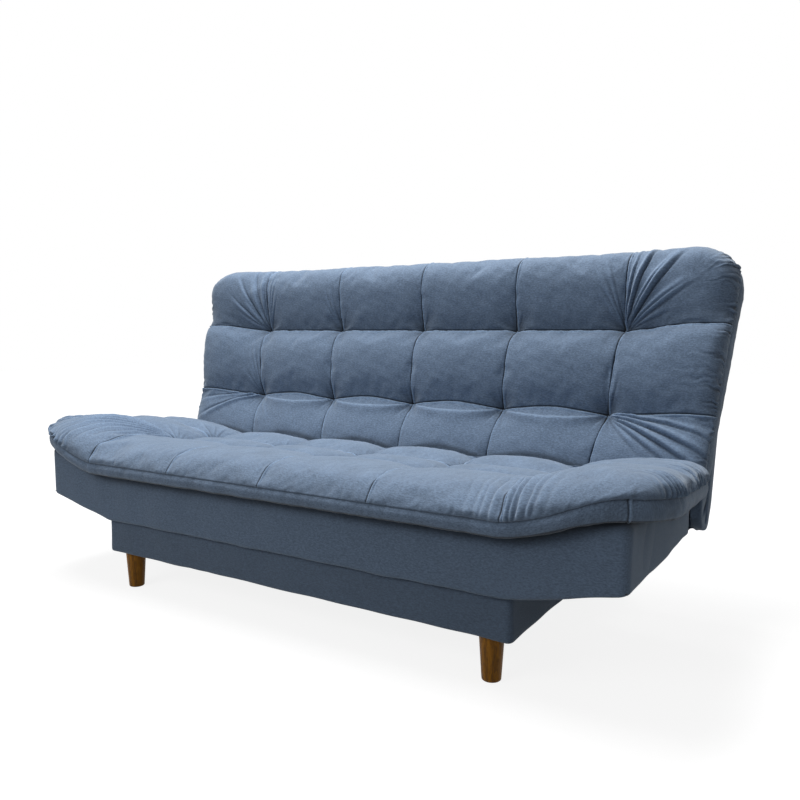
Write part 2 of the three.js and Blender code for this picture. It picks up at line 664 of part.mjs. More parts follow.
// The hollow of the housing ring, with two sprung tongues that curl in from the ring until their
// noses ride just off the teeth.
function ringHollow() {
  const steps = 6;
  const nose = WHEEL_TIP_RADIUS + FIT;
  const leaf = (turn) => THREE.MathUtils.lerp(RING_INNER_RADIUS, nose, turn / TONGUE_SPAN);
  const arc = (root, start, end, radiusAt) => Array.from({ length: steps + 1 }, (_, step) => {
    const turn = THREE.MathUtils.lerp(start, end, step / steps);
    const angle = THREE.MathUtils.degToRad(root + turn);
    return [radiusAt(turn) * Math.cos(angle), radiusAt(turn) * Math.sin(angle)];
  });
  return outline([0, 180].flatMap((root) => [
    ...arc(root, 0, TONGUE_SPAN, leaf),
    ...arc(root, TONGUE_SPAN, TONGUE_ROOT, (turn) => leaf(turn) + TONGUE),
    ...arc(root, TONGUE_ROOT + 3, 176, () => RING_INNER_RADIUS),
  ]));
}

function addHinges() {
  const armX = [SEAT_ARM_INNER, SEAT_ARM_OUTER];
  const pinBore = (x, y, z) => rodAlongX([x[0] - 1, x[1] + 1], RIVET_RADIUS + FIT, y, z);
  const seatBar = bar([[PIVOT_Y, PIVOT_Z], armKnee, armEntry, seatBolts.at(-1)], seatBolts, armX);
  const wheelX = [SEAT_ARM_OUTER - FIT, WHEEL_OUTER];
  const wheel = extrudeAlongX(wheelOutline(), wheelX).translate(0, PIVOT_Y, PIVOT_Z);
  const seatArm = cut(join(seatBar, wheel), pinBore([armX[0], WHEEL_OUTER], PIVOT_Y, PIVOT_Z));
  addPair(group, 'hinge_seat_arm', seatArm, 'steel');

  const plateX = [BACK_ARM_INNER, BACK_ARM_OUTER];
  const housing = circle(0, 0, RING_OUTER_RADIUS);
  housing.holes.push(ringHollow());
  const ring = extrudeAlongX(housing, [SEAT_ARM_OUTER + FIT, BACK_ARM_INNER + FIT]);
  const eye = rodAlongX(plateX, RING_OUTER_RADIUS + 1, 0, 0);
  const backBar = bar([[0, 0], backKnee, backBolts.at(-1)], backBolts, plateX);
  addPair(backrest, 'hinge_back_arm', cut(join(eye, backBar, ring), pinBore(plateX, 0, 0)), 'steel');

  // Rivet with a domed head inside and a flat head in the stile's pocket
  const domeStart = SEAT_ARM_INNER - FIT - RIVET_HEAD;
  const tailStart = BACK_ARM_OUTER + FIT / 2;
  const rivet = turnAlongX([
    [domeStart, 0],
    [domeStart + 0.4, RIVET_HEAD_RADIUS * 0.5],
    [domeStart + 1.6, RIVET_HEAD_RADIUS * 0.87],
    [domeStart + RIVET_HEAD, RIVET_HEAD_RADIUS],
    [domeStart + RIVET_HEAD, RIVET_RADIUS],
    [tailStart, RIVET_RADIUS],
    [tailStart, RIVET_HEAD_RADIUS],
    [tailStart + RIVET_HEAD - FIT, RIVET_HEAD_RADIUS - 1],
    [tailStart + RIVET_HEAD - FIT, 0],
  ]);
  addPair(group, 'hinge_rivet', rivet.translate(0, PIVOT_Y, PIVOT_Z), 'steel');

  // Bolts, with low round heads against the arms
  const bolt = (plateInner, length) => turnAlongX([
    [plateInner - FIT - BOLT_HEAD, 0],
    [plateInner - FIT - BOLT_HEAD, BOLT_HEAD_RADIUS * 0.6],
    [plateInner - FIT - BOLT_HEAD * 0.5, BOLT_HEAD_RADIUS],
    [plateInner - FIT, BOLT_HEAD_RADIUS],
    [plateInner - FIT, BOLT_RADIUS],
    [plateInner + length - 1, BOLT_RADIUS],
    [plateInner + length, BOLT_RADIUS - 1],
    [plateInner + length, 0],
  ]);
  seatBolts.forEach(([y, z], index) => {
    const length = SEAT_RAIL_INNER + BOLT_GRIP - SEAT_ARM_INNER;
    const placed = bolt(SEAT_ARM_INNER, length).translate(0, y, z);
    addPair(group, `hinge_seat_bolt_${index + 1}`, placed, 'steel');
  });
  backBolts.forEach(([y, z], index) => {
    const length = STILE_INNER + BOLT_GRIP - BACK_ARM_INNER;
    const placed = bolt(BACK_ARM_INNER, length).translate(0, y, z);
    addPair(backrest, `hinge_back_bolt_${index + 1}`, placed, 'steel');
  });
}

// ---------------------------------------------------------------- Pads

// The seat pad: its side view, with the front roll drooping over the fascia, within its plan outline.
function addSeatPad() {
  const front = SEAT_FRONT - SEAT_PAD_NOSE;
  const rear = SEAT_REAR + SEAT_PAD_TAIL;
  const underside = (y) => seatTop(0, y) + WEB_TOP + FIT;
  const crown = (y) => underside(y) + SEAT_PAD_THICKNESS;
  const inFront = SEAT_FRONT - 2 * FIT;
  const lip = seatTop(0, SEAT_FRONT) - SEAT_PAD_LIP;
  const side = outline([
    [inFront, underside(inFront)],
    [inFront, lip, 4],
    [front, lip, SEAT_PAD_ROUNDING / 2],
    [front, crown(front), SEAT_PAD_ROUNDING * 1.5],
    [rear, crown(rear), SEAT_PAD_ROUNDING],
    [rear, underside(rear), SEAT_PAD_ROUNDING / 2],
  ]);
  const half = SEAT_END + SEAT_PAD_SIDE;
  const rearHalf = SEAT_END + SEAT_PAD_REAR_SIDE;
  const plan = outline([
    [half, front, SEAT_PAD_CORNER],
    [rearHalf, rear, SEAT_PAD_REAR_CORNER],
    [-rearHalf, rear, SEAT_PAD_REAR_CORNER],
    [-half, front, SEAT_PAD_CORNER],
  ], 10);
  const tall = extrudeAlongZ(plan, [0, crown(front) + 1]);
  add(group, 'seat_pad', common(extrudeAlongX(side, [-half, half]), tall), 'upholstery');
}

// The back pad: its lower lip hangs in front of the hinges, so it is thinner there.
function addBackPad() {
  const rear = BACK_FRAME_FRONT - WEB_TOP - FIT;
  const top = BACK_FRAME_ABOVE + BACK_PAD_OVER;
  const reliefFront = -RING_OUTER_RADIUS - RELIEF;
  const reliefTop = RING_OUTER_RADIUS + RELIEF * 2;
  const side = outline([
    [-BACK_PAD_FRONT, -BACK_PAD_LIP, BACK_PAD_ROUNDING / 1.5],
    [reliefFront, -BACK_PAD_LIP, 4],
    [reliefFront, reliefTop],
    [rear, reliefTop],
    [rear, top, BACK_PAD_ROUNDING / 2],
    [-BACK_PAD_FRONT, top, BACK_PAD_ROUNDING * 1.4],
  ]);
  const half = BACK_END + BACK_PAD_SIDE;
  const footHalf = BACK_END + BACK_PAD_FOOT_SIDE;
  const face = outline([
    [-footHalf, -BACK_PAD_LIP, BACK_PAD_FOOT_CORNER],
    [footHalf, -BACK_PAD_LIP, BACK_PAD_FOOT_CORNER],
    [half, top, BACK_PAD_CORNER],
    [-half, top, BACK_PAD_CORNER],
  ], 10);
  const deep = extrudeAlongY(face, [-BACK_PAD_FRONT - 1, rear + 1]);
  add(backrest, 'back_pad', common(extrudeAlongX(side, [-half, half]), deep), 'upholstery');
}

// ---------------------------------------------------------------- Assembly

addFeet();
addBase();
addSeatBox();
addSeatWebbing();
addSeatPad();
addBackFrame();
addBackWebbing();
addBackCover();
addBackPad();
addHinges();

// Bring the middle of the sofa's depth over the origin
const bounds = new THREE.Box3().setFromObject(group, true);
group.position.y = -(bounds.min.y + bounds.max.y) / 2;

export default group;
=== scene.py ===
"""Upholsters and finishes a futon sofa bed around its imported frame: tufted pads with sewn seams and
pleats, fabric covers, turned feet, and the wood, webbing and steel inside.

Metres, Z up, and -Y is the front. Left and right are as seen by someone facing the sofa."""

import json
import math

import bmesh
import bpy
import numpy as np
from bpy.props import FloatProperty, FloatVectorProperty, IntProperty, PointerProperty
from bpy.types import Operator, Panel, PropertyGroup
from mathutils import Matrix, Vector


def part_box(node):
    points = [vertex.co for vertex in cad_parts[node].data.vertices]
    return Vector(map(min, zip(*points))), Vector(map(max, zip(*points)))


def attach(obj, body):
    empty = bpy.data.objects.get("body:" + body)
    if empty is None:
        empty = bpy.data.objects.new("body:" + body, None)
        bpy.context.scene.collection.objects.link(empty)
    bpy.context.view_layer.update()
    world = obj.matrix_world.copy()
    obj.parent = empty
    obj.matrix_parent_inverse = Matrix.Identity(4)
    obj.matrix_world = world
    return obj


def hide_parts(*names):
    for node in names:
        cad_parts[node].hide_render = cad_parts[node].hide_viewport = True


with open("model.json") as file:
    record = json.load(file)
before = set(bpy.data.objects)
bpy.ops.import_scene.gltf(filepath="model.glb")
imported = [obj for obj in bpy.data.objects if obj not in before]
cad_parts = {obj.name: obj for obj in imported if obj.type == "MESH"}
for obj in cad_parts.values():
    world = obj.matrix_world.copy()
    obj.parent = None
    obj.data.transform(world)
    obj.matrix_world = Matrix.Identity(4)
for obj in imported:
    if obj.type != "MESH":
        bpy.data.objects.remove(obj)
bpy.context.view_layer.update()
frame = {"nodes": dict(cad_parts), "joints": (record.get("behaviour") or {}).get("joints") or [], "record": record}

bl_info = {
    "name": "Futon sofa bed",
    "version": (1, 0, 0),
    "blender": (4, 5, 0),
    "location": "View3D > Sidebar > Sofa bed",
    "description": "Upholsters a reclining sofa bed's frame with tufted pads and fabric covers",
    "category": "Add Mesh",
}

HINGE = next(joint for joint in frame["joints"] if joint["name"] == "backrest_recline")
PIVOT = Vector(HINGE["pos_m"])
RECLINE = math.radians(90 - HINGE["range_deg"][1])  # flat is a quarter turn back from upright
MM = 0.001

COLUMN_SEAMS = 5  # seams across each pad, which makes one cell more
LAST_COLUMN = (COLUMN_SEAMS - 1) // 2  # number of the outermost seam, counted from the middle one
COLUMNS = range(-LAST_COLUMN, LAST_COLUMN + 1)
BACK_ROWS = (0.158, 0.390)  # tufted rows of the back pad, above the hinge axis
SEAT_ROWS = (0.300, 0.440)  # tufted rows of the seat pad, behind its front
BOX_SLOPE = 0.081  # fall of the seat box's top towards the rear
ROLL_DROOP = 0.057  # how far the seat's front roll hangs below the box's top

# Range of the painted shade and painted highlights on the suede
DARKEST, PALEST = -1.7, 1.0  # range of the relief that the suede is shaded by
FILLING_FRAMES = 20  # length of the cloth simulation that fills a pad


# ---------------------------------------------------------------- Settings


def metres(name, description, default):
    return FloatProperty(name=name, description=description, default=default, unit="LENGTH")


def tint(name, description, default):
    return FloatVectorProperty(
        name=name, description=description, default=default, subtype="COLOR", min=0, max=1,
    )


class SofaSizes(PropertyGroup):
    """Sizes of the upholstery that are the maker's to choose."""

    tuft_depth: metres("Tuft depth", "How far each tuft draws the pad in", 0.050)
    seam_depth: metres("Seam depth", "How far a seam draws the pad in, between tufts", 0.010)
    back_crest: metres("Back crest", "How far the back pad stands out before the hinge axis", 0.088)
    back_spacing: metres("Back tuft spacing", "Between the upper tufts of the back pad", 0.3155)
    seat_spacing: metres("Seat seam spacing", "Between the seams at the seat's front", 0.308)
    weave: metres("Nap grain", "Size of the fabric's finest grain", 0.0011)
    pleats: FloatProperty(
        name="Pleats", description="Strength of the pleats and gathers",
        default=1.0, min=0.0, max=2.0, subtype="FACTOR",
    )
    seed: IntProperty(name="Seed", description="Start of every random draw", default=7)


class SofaColours(PropertyGroup):
    """Colours of the sofa's finishes."""

    fabric: tint("Fabric", "Blue-grey suede cloth", (0.109, 0.156, 0.230))
    nap: tint("Nap", "Tint of the cloth's sheen", (0.84, 0.92, 1.0))
    feet: tint("Feet", "Stained and lacquered wood", (0.24, 0.1, 0.009))
    softwood: tint("Softwood", "Planed frame timber", (0.56, 0.36, 0.17))
    plywood: tint("Plywood", "Deck and bottom board", (0.46, 0.28, 0.12))
    webbing: tint("Webbing", "Elastic straps", (0.03, 0.03, 0.034))
    bottom_cloth: tint("Bottom cloth", "Non-woven cloth under the plinth", (0.014, 0.014, 0.015))
    steel: tint("Steel", "Zinc-plated hinges and bolts", (0.5, 0.51, 0.53))


def sizes():
    return bpy.context.scene.sofa_sizes


def colours():
    return bpy.context.scene.sofa_colours


# ---------------------------------------------------------------- Shader node groups


def node(tree, kind, **settings):
    made = tree.nodes.new(kind)
    for name, value in settings.items():
        if name in made.inputs:
            made.inputs[name].default_value = value
        else:
            setattr(made, name, value)
    return made


VECTOR, COLOUR, FLOAT = "NodeSocketVector", "NodeSocketColor", "NodeSocketFloat"
NOISE = (0.3, 0.7)  # range that most of a noise texture's values lie in


def new_group(name, inputs, outputs):
    group = bpy.data.node_groups.new(name, "ShaderNodeTree")
    for label, kind, default in inputs:
        socket = group.interface.new_socket(label, in_out="INPUT", socket_type=kind)
        if default is not None:
            socket.default_value = default
    for label, kind in outputs:
        group.interface.new_socket(label, in_out="OUTPUT", socket_type=kind)
    return group, group.nodes.new("NodeGroupInput"), group.nodes.new("NodeGroupOutput")


def noise_layer(group, place, scale, detail, roughness=0.55):
    layer = node(group, "ShaderNodeTexNoise", Scale=scale, Detail=detail, Roughness=roughness)
    group.links.new(place, layer.inputs["Vector"])
    return layer.outputs["Fac"]


def spread(group, value, between, onto):
    """Maps one range of a value onto another, smoothly and level beyond its ends."""
    ranged = node(group, "ShaderNodeMapRange", interpolation_type="SMOOTHSTEP")
    for label, number in zip(("From Min", "From Max", "To Min", "To Max"), (*between, *onto)):
        ranged.inputs[label].default_value = number
    group.links.new(value, ranged.inputs["Value"])
    return ranged.outputs["Result"]


def maths(group, operation, first, second):
    step = node(group, "ShaderNodeMath", operation=operation)
    for socket, value in zip(step.inputs, (first, second)):
        if isinstance(value, (int, float)):
            socket.default_value = value
        else:
            group.links.new(value, socket)
    return step.outputs[0]


def shade(group, colour, value):
    """The colour made lighter or darker by a value about 1."""
    scaled = node(group, "ShaderNodeVectorMath", operation="SCALE")
    group.links.new(colour, scaled.inputs[0])
    group.links.new(value, scaled.inputs["Scale"])
    return scaled.outputs[0]


def suede_group():
    """Brushed nap: broad stroked patches, a fine mottle, and grain for the bump. It also carries the painted
    highlights and painted shade that each piece gives it.
    """
    group, entry, leave = new_group(
        "Suede nap",
        [
            ("Vector", VECTOR, None), ("Colour", COLOUR, (0.1, 0.15, 0.22, 1)),
            ("Grain", FLOAT, 0.0011), ("Painted light", FLOAT, 0.0), ("Contrast", FLOAT, 1.0),
        ],
        [("Colour", COLOUR), ("Roughness", FLOAT), ("Height", FLOAT)],
    )
    # Brushing draws the pattern out along the pad
    stretch = node(group, "ShaderNodeMapping", Scale=(0.4, 1.0, 1.0))
    group.links.new(entry.outputs["Vector"], stretch.inputs["Vector"])
    brushed = stretch.outputs[0]

    patches = noise_layer(group, entry.outputs["Vector"], 6, 3)
    strokes = spread(group, patches, NOISE, (0.975, 1.025))
    mottle = spread(group, noise_layer(group, brushed, 280, 4, 0.75), NOISE, (-0.24, 0.24))
    mottle = maths(group, "ADD", 1.0, maths(group, "MULTIPLY", mottle, entry.outputs["Contrast"]))
    fibres = noise_layer(group, brushed, 480, 2, 0.6)
    fibre_shade = spread(group, fibres, NOISE, (0.84, 1.16))
    # Painted highlights on the ridges and painted shade in the seams, as each piece gives them
    painted_tone = spread(group, entry.outputs["Painted light"], (DARKEST, PALEST), (0.15, 1.5))
    tone = maths(group, "MULTIPLY", maths(group, "MULTIPLY", strokes, mottle), fibre_shade)
    tone = maths(group, "MULTIPLY", tone, painted_tone)
    group.links.new(shade(group, entry.outputs["Colour"], tone), leave.inputs["Colour"])
    roughness = spread(group, fibres, (0.2, 0.8), (0.82, 0.98))
    group.links.new(roughness, leave.inputs["Roughness"])
    frequency = maths(group, "DIVIDE", 1.0, entry.outputs["Grain"])
    grain = node(group, "ShaderNodeTexNoise", Detail=2.0)
    group.links.new(entry.outputs["Vector"], grain.inputs["Vector"])
    group.links.new(frequency, grain.inputs["Scale"])
    height = maths(group, "ADD", maths(group, "MULTIPLY", fibres, 0.6), grain.outputs["Fac"])
    group.links.new(height, leave.inputs["Height"])
    return group


def wood_group():
    """Long grain along local Z, with growth bands and pores."""
    group, entry, leave = new_group(
        "Wood grain",
        [
            ("Vector", VECTOR, None), ("Colour", COLOUR, (0.5, 0.3, 0.12, 1)),
            ("Contrast", FLOAT, 0.3),
        ],
        [("Colour", COLOUR), ("Roughness", FLOAT), ("Height", FLOAT)],
    )
    bands = node(group, "ShaderNodeTexWave", Scale=22.0, Distortion=5.0, Detail=3.0)
    bands.inputs["Detail Scale"].default_value = 1.4
    group.links.new(entry.outputs["Vector"], bands.inputs["Vector"])
    stretch = node(group, "ShaderNodeMapping", Scale=(1.0, 1.0, 0.06))
    group.links.new(entry.outputs["Vector"], stretch.inputs["Vector"])
    pores = node(group, "ShaderNodeTexNoise", Scale=600.0, Detail=3.0)
    group.links.new(stretch.outputs[0], pores.inputs["Vector"])
    contrast = entry.outputs["Contrast"]
    figure = spread(group, bands.outputs["Fac"], (0, 1), (-0.5, 0.5))
    flecks = spread(group, pores.outputs["Fac"], NOISE, (-0.5, 0.5))
    figure, flecks = (maths(group, "MULTIPLY", mark, contrast) for mark in (figure, flecks))
    tone = maths(group, "ADD", maths(group, "ADD", figure, flecks), 1.0)
    group.links.new(shade(group, entry.outputs["Colour"], tone), leave.inputs["Colour"])
    roughness = spread(group, pores.outputs["Fac"], (0.2, 0.8), (0.36, 0.62))
    group.links.new(roughness, leave.inputs["Roughness"])
    group.links.new(pores.outputs["Fac"], leave.inputs["Height"])
    return group


def weave_group():
    """Crossed threads, for webbing and bottom cloth."""
    group, entry, leave = new_group(
        "Plain weave",
        [
            ("Vector", VECTOR, None), ("Colour", COLOUR, (0.03, 0.03, 0.03, 1)),
            ("Thread", FLOAT, 0.0012),
        ],
        [("Colour", COLOUR), ("Height", FLOAT)],
    )
    count = maths(group, "DIVIDE", 1.0, entry.outputs["Thread"])
    threads = []
    for direction in ("X", "Y"):
        wave = node(group, "ShaderNodeTexWave", bands_direction=direction, Distortion=0.4)
        group.links.new(entry.outputs["Vector"], wave.inputs["Vector"])
        group.links.new(count, wave.inputs["Scale"])
        threads.append(wave.outputs["Fac"])
    height = maths(group, "MULTIPLY", *threads)
    fluff = noise_layer(group, entry.outputs["Vector"], 160, 3)
    fluff = spread(group, fluff, NOISE, (0.8, 1.2))
    tone = maths(group, "MULTIPLY", fluff, spread(group, height, (0, 1), (0.8, 1.25)))
    group.links.new(shade(group, entry.outputs["Colour"], tone), leave.inputs["Colour"])
    group.links.new(height, leave.inputs["Height"])
    return group


# ---------------------------------------------------------------- Materials


def material(name, group, coordinates, bump, inputs, **shader):
    """A Principled material whose pattern comes from a node group."""
    made = bpy.data.materials.new(name)
    made.use_nodes = True
    tree = made.node_tree
    principled = tree.nodes["Principled BSDF"]
    for label, value in shader.items():
        principled.inputs[label.replace("_", " ")].default_value = value
    pattern = node(tree, "ShaderNodeGroup", node_tree=group)
    for label, value in inputs.items():
        pattern.inputs[label].default_value = value
    if coordinates == "Object":
        place = node(tree, "ShaderNodeTexCoord").outputs["Object"]
    else:
        place = node(tree, "ShaderNodeUVMap", uv_map=coordinates).outputs[0]
    if "Painted light" in pattern.inputs:
        # Each piece's painted highlights and painted shade
        painted_light = node(tree, "ShaderNodeAttribute", attribute_name="painted_light")
        tree.links.new(painted_light.outputs["Fac"], pattern.inputs["Painted light"])
    tree.links.new(place, pattern.inputs["Vector"])
    tree.links.new(pattern.outputs["Colour"], principled.inputs["Base Color"])
    if "Roughness" in pattern.outputs:
        tree.links.new(pattern.outputs["Roughness"], principled.inputs["Roughness"])
    ridges = node(tree, "ShaderNodeBump", Strength=0.6, Distance=bump)
    tree.links.new(pattern.outputs["Height"], ridges.inputs["Height"])
    tree.links.new(ridges.outputs["Normal"], principled.inputs["Normal"])
    return made


def opaque(colour):
    return (*colour, 1.0)


def suede(name, coordinates, tone=1.0, contrast=1.0):
    return material(
        name, bpy.data.node_groups["Suede nap"], coordinates, 0.5 * MM,
        {
            "Colour": opaque(tone * part for part in colours().fabric),
            "Grain": sizes().weave,
            "Contrast": contrast,
        },
        Sheen_Weight=0.38, Sheen_Roughness=0.5, Sheen_Tint=opaque(colours().nap),
        Specular_IOR_Level=0.25,
    )


def timber(name, colour, contrast, grain=(0, 0, 0), **shader):
    """Wood whose grain runs along Z, or another way once turned by the angles given."""
    made = material(
        name, bpy.data.node_groups["Wood grain"], "Object", 0.15 * MM,
        {"Colour": opaque(colour), "Contrast": contrast}, **shader,
    )
    tree = made.node_tree
    pattern = next(part for part in tree.nodes if part.type == "GROUP")
    place = pattern.inputs["Vector"].links[0].from_socket
    turned = node(tree, "ShaderNodeMapping", Rotation=[math.radians(angle) for angle in grain])
    tree.links.new(place, turned.inputs["Vector"])
    tree.links.new(turned.outputs[0], pattern.inputs["Vector"])
    return made


def woven(name, colour, thread):
    return material(
        name, bpy.data.node_groups["Plain weave"], "Object", 0.3 * MM,
        {"Colour": opaque(colour), "Thread": thread}, Roughness=0.85, Sheen_Weight=0.15,
    )


def plated_steel(name):
    return material(
        name, bpy.data.node_groups["Suede nap"], "Object", 0.02 * MM,
        {"Colour": opaque(colours().steel), "Grain": 0.4 * MM}, Metallic=1.0,
    )


class SOFA_OT_materials(Operator):
    """Builds the shared node groups and every finish"""

    bl_idname = "sofa.materials"
    bl_label = "Materials"

    def execute(self, context):
        tints = colours()
        suede_group()
        wood_group()
        weave_group()
        suede("Pad suede", "Cloth")
        suede("Cover suede", "Object", tone=0.93, contrast=0.55)
        # The plinth's suede is a darker copy of the same cloth: painted shade under the seat box's overhang
        suede("Shaded plinth suede", "Object", tone=0.72, contrast=0.55)
        timber(
            "Stained wood", tints.feet, contrast=0.55,
            Coat_Weight=0.04, Coat_Roughness=0.3, Specular_IOR_Level=0.15,
        )
        timber("Softwood", tints.softwood, contrast=0.35, grain=(0, 90, 0))
        timber("Softwood upright", tints.softwood, contrast=0.35)
        timber("Softwood crosswise", tints.softwood, contrast=0.35, grain=(90, 0, 0))
        timber("Plywood", tints.plywood, contrast=0.35, grain=(0, 90, 0))
        woven("Webbing", tints.webbing, thread=1.4 * MM)
        woven("Bottom cloth", tints.bottom_cloth, thread=0.9 * MM)
        plated_steel("Plated steel")
        return {"FINISHED"}


# ---------------------------------------------------------------- Mesh helpers


def new_piece(name, bm, finish):
    mesh = bpy.data.meshes.new(name)
    bm.to_mesh(mesh)
    bm.free()
    piece = bpy.data.objects.new(name, mesh)
    bpy.context.scene.collection.objects.link(piece)
    mesh.materials.append(bpy.data.materials[finish])
    mesh.shade_smooth()
    return piece


def points(piece):
    found = np.zeros(len(piece.data.vertices) * 3)
    piece.data.vertices.foreach_get("co", found)
    return found.reshape(-1, 3)


def normals(piece):
    found = np.zeros(len(piece.data.vertices) * 3)
    piece.data.vertex_normals.foreach_get("vector", found)
    return found.reshape(-1, 3)


def set_points(piece, places):
    piece.data.vertices.foreach_set("co", np.asarray(places, np.float32).ravel())
    piece.data.update()


def apply_modifiers(piece):
    with bpy.context.temp_override(object=piece, active_object=piece, selected_objects=[piece]):
        for modifier in list(piece.modifiers):
            bpy.ops.object.modifier_apply(modifier=modifier.name)


def subdivide(piece, times=1):
    finer = piece.modifiers.new("Finer", "SUBSURF")
    finer.levels = finer.render_levels = times
    finer.uv_smooth = "NONE"
    apply_modifiers(piece)


def smoothstep(value, low, high):
    share = np.clip((value - low) / (high - low), 0, 1)
    return share * share * (3 - 2 * share)


def bell(distance, width):
    """A smooth crest across a line: 1 on it, and 0.37 at the width given from it."""
    return np.exp(-np.square(distance / width))


def smooth_through(value, pairs):
    """A smooth line through pairs of (place, height), level beyond both ends."""
    places, heights = np.array(pairs).T
    slopes = np.gradient(heights, places)
    slopes[0] = slopes[-1] = 0
    value = np.clip(value, places[0], places[-1])
    index = np.clip(np.searchsorted(places, value) - 1, 0, len(places) - 2)
    width = places[index + 1] - places[index]
    t = (value - places[index]) / width
    return (
        heights[index] * (1 + 2 * t) * (1 - t) ** 2 + heights[index + 1] * t * t * (3 - 2 * t)
        + width * (slopes[index] * t * (1 - t) ** 2 - slopes[index + 1] * t * t * (1 - t))
    )


# ---------------------------------------------------------------- Quilted pads


def stations(edges, near=3.5 * MM, near_count=4, step=9.5 * MM):
    """Places for grid lines between edges: close together beside each seam, then evenly spaced.
    Returns them as cell numbers, where a whole number is an edge."""
    found = [0.0]
    last = len(edges) - 2
    for cell, (start, end) in enumerate(zip(edges, edges[1:])):
        width = end - start
        offsets = [near * i for i in range(near_count + 1)] if cell > 0 else [0.0]
        tail = [width - near * i for i in range(near_count, 0, -1)] if cell < last else []
        low, high = offsets[-1], tail[0] if tail else width
        count = max(2, round((high - low) / step))
        offsets += [low + (high - low) * i / count for i in range(1, count + (0 if tail else 1))]
        offsets += tail + ([width] if tail else [])
        found += [cell + offset / width for offset in offsets[1:]]
    return np.array(found)


class PadForm:
    """The form of a pad: a panel whose edges roll down to a border seam, seen from its front.

    Across is along the sofa, up is along the pad from its low edge to its high one, and out is
    towards the sitter. A roll's tuck is how far, in radians, it turns back in under itself to reach
    the seam."""

    def __init__(self, halves, ends, corners, rolls, roll_side, tucks, tuck_side):
        self.half_low, self.half_high = halves
        self.low, self.high = ends
        self.corner_low, self.corner_high = corners
        self.roll_low, self.roll_high = rolls
        self.tuck_low, self.tuck_high = tucks
        self.roll_side, self.tuck_side = roll_side, tuck_side
        self.flat_low = self.low - self.spare(self.roll_low, self.tuck_low)
        self.flat_high = self.high + self.spare(self.roll_high, self.tuck_high)

    @staticmethod
    def spare(roll, tuck):
        """How much longer the cloth is than the form, from the top of the roll to the seam."""
        return roll * (math.pi / 2 + tuck - 1)

    def half(self, up):
        share = np.clip((up - self.low) / (self.high - self.low), 0, 1)
        return self.half_low + (self.half_high - self.half_low) * share

    def flat_half(self, up):
        return self.half(up) + self.spare(self.roll_side, self.tuck_side)

    @staticmethod
    def roll_over(inset, roll, tuck):
        """Depth within the outline and share of the rise, at a distance along the cloth."""
        turn = np.minimum(inset / roll - tuck, math.pi / 2)
        beyond = np.maximum(inset - roll * (math.pi / 2 + tuck), 0)
        rise = (np.sin(turn) + np.sin(tuck)) / (1 + np.sin(tuck))
        return roll * (1 - np.cos(turn)) + beyond, rise

    def drape(self, across, up):
        """Where points of the flat cloth come to lie: across, up, the share of the rise, and the
        way that the outline faces there."""
        side = np.sign(across)
        half = self.half(up)
        spare_side = self.spare(self.roll_side, self.tuck_side)
        from_side = half + spare_side - np.abs(across)
        is_low = up < (self.low + self.high) / 2
        from_end = np.where(is_low, up - self.flat_low, self.flat_high - up)
        corner = np.where(is_low, self.corner_low, self.corner_high)
        roll_end = np.where(is_low, self.roll_low, self.roll_high)
        tuck_end = np.where(is_low, self.tuck_low, self.tuck_high)
        end = np.where(is_low, self.low, self.high)
        facing = np.where(is_low, -1.0, 1.0)

        toward_side = np.clip(1 - from_side / (corner + spare_side), 0, None)
        toward_end = np.clip(1 - from_end / (corner + self.spare(roll_end, tuck_end)), 0, None)
        outermost = np.maximum(toward_side, toward_end)
        # In a corner the square of flat cloth spreads over a quarter disc
        lesser = np.minimum(toward_side, toward_end) / np.maximum(outermost, 1e-9)
        quarter = math.pi / 4 * lesser
        angle = np.where(toward_side > toward_end, math.pi / 2 - quarter, quarter)
        blend = np.sin(angle) ** 2
        roll = self.roll_side * blend + roll_end * (1 - blend)
        tuck = self.tuck_side * blend + tuck_end * (1 - blend)
        inset = (1 - outermost) * (corner + self.spare(roll, tuck))
        depth, rise = self.roll_over(inset, roll, tuck)
        radius = corner - depth
        x = half - corner + radius * np.sin(angle)
        y = end - facing * corner + facing * radius * np.cos(angle)
        x = np.where(toward_side <= 0, np.abs(across), x)
        y = np.where(toward_end <= 0, up, y)
        rise = np.where(outermost <= 0, 1.0, rise)
        outward = np.stack([side * np.sin(angle), facing * np.cos(angle)], axis=1)
        return side * x, y, rise, outward


class Seams:
    """Where a pad's seams run on the flat cloth, and how deep they and the tufts are drawn."""

    def __init__(self, spacing, rows, row_depths, tuft_depths, column_depth, reaches):
        self.spacing, self.rows = spacing, rows
        self.row_depths, self.tuft_depths, self.column_depth = row_depths, tuft_depths, column_depth
        self.reach_above, self.reach_below, self.reach_column, self.reach_tuft = reaches

    def column(self, flat_x, flat_up):
        """Signed distance to the nearest column seam."""
        seam = self.spacing(flat_up)
        number = np.clip(np.rint(flat_x / seam), -LAST_COLUMN, LAST_COLUMN)
        return flat_x - number * seam

    def drawn(self, flat_x, flat_up, row_share=1.0):
        """How far tufts and seams draw the cloth in. All rise in a curve from the thread."""
        beside = self.column(flat_x, flat_up)
        parts = [self.column_depth(flat_up) * np.exp(-np.abs(beside) / self.reach_column)]
        for row, row_depth, tuft_depth in zip(self.rows, self.row_depths, self.tuft_depths):
            above = flat_up - row
            reach = np.where(above > 0, self.reach_above, self.reach_below)
            parts.append(row_depth * row_share * np.exp(-np.abs(above) / reach))
            parts.append(tuft_depth * np.exp(-np.hypot(above, beside) / self.reach_tuft))
        return np.power(sum(np.power(part, 3) for part in parts), 1 / 3)

    def tuft(self, number, row):
        """Place of a tuft on the flat cloth."""
        return number * float(self.spacing(self.rows[row])), self.rows[row]


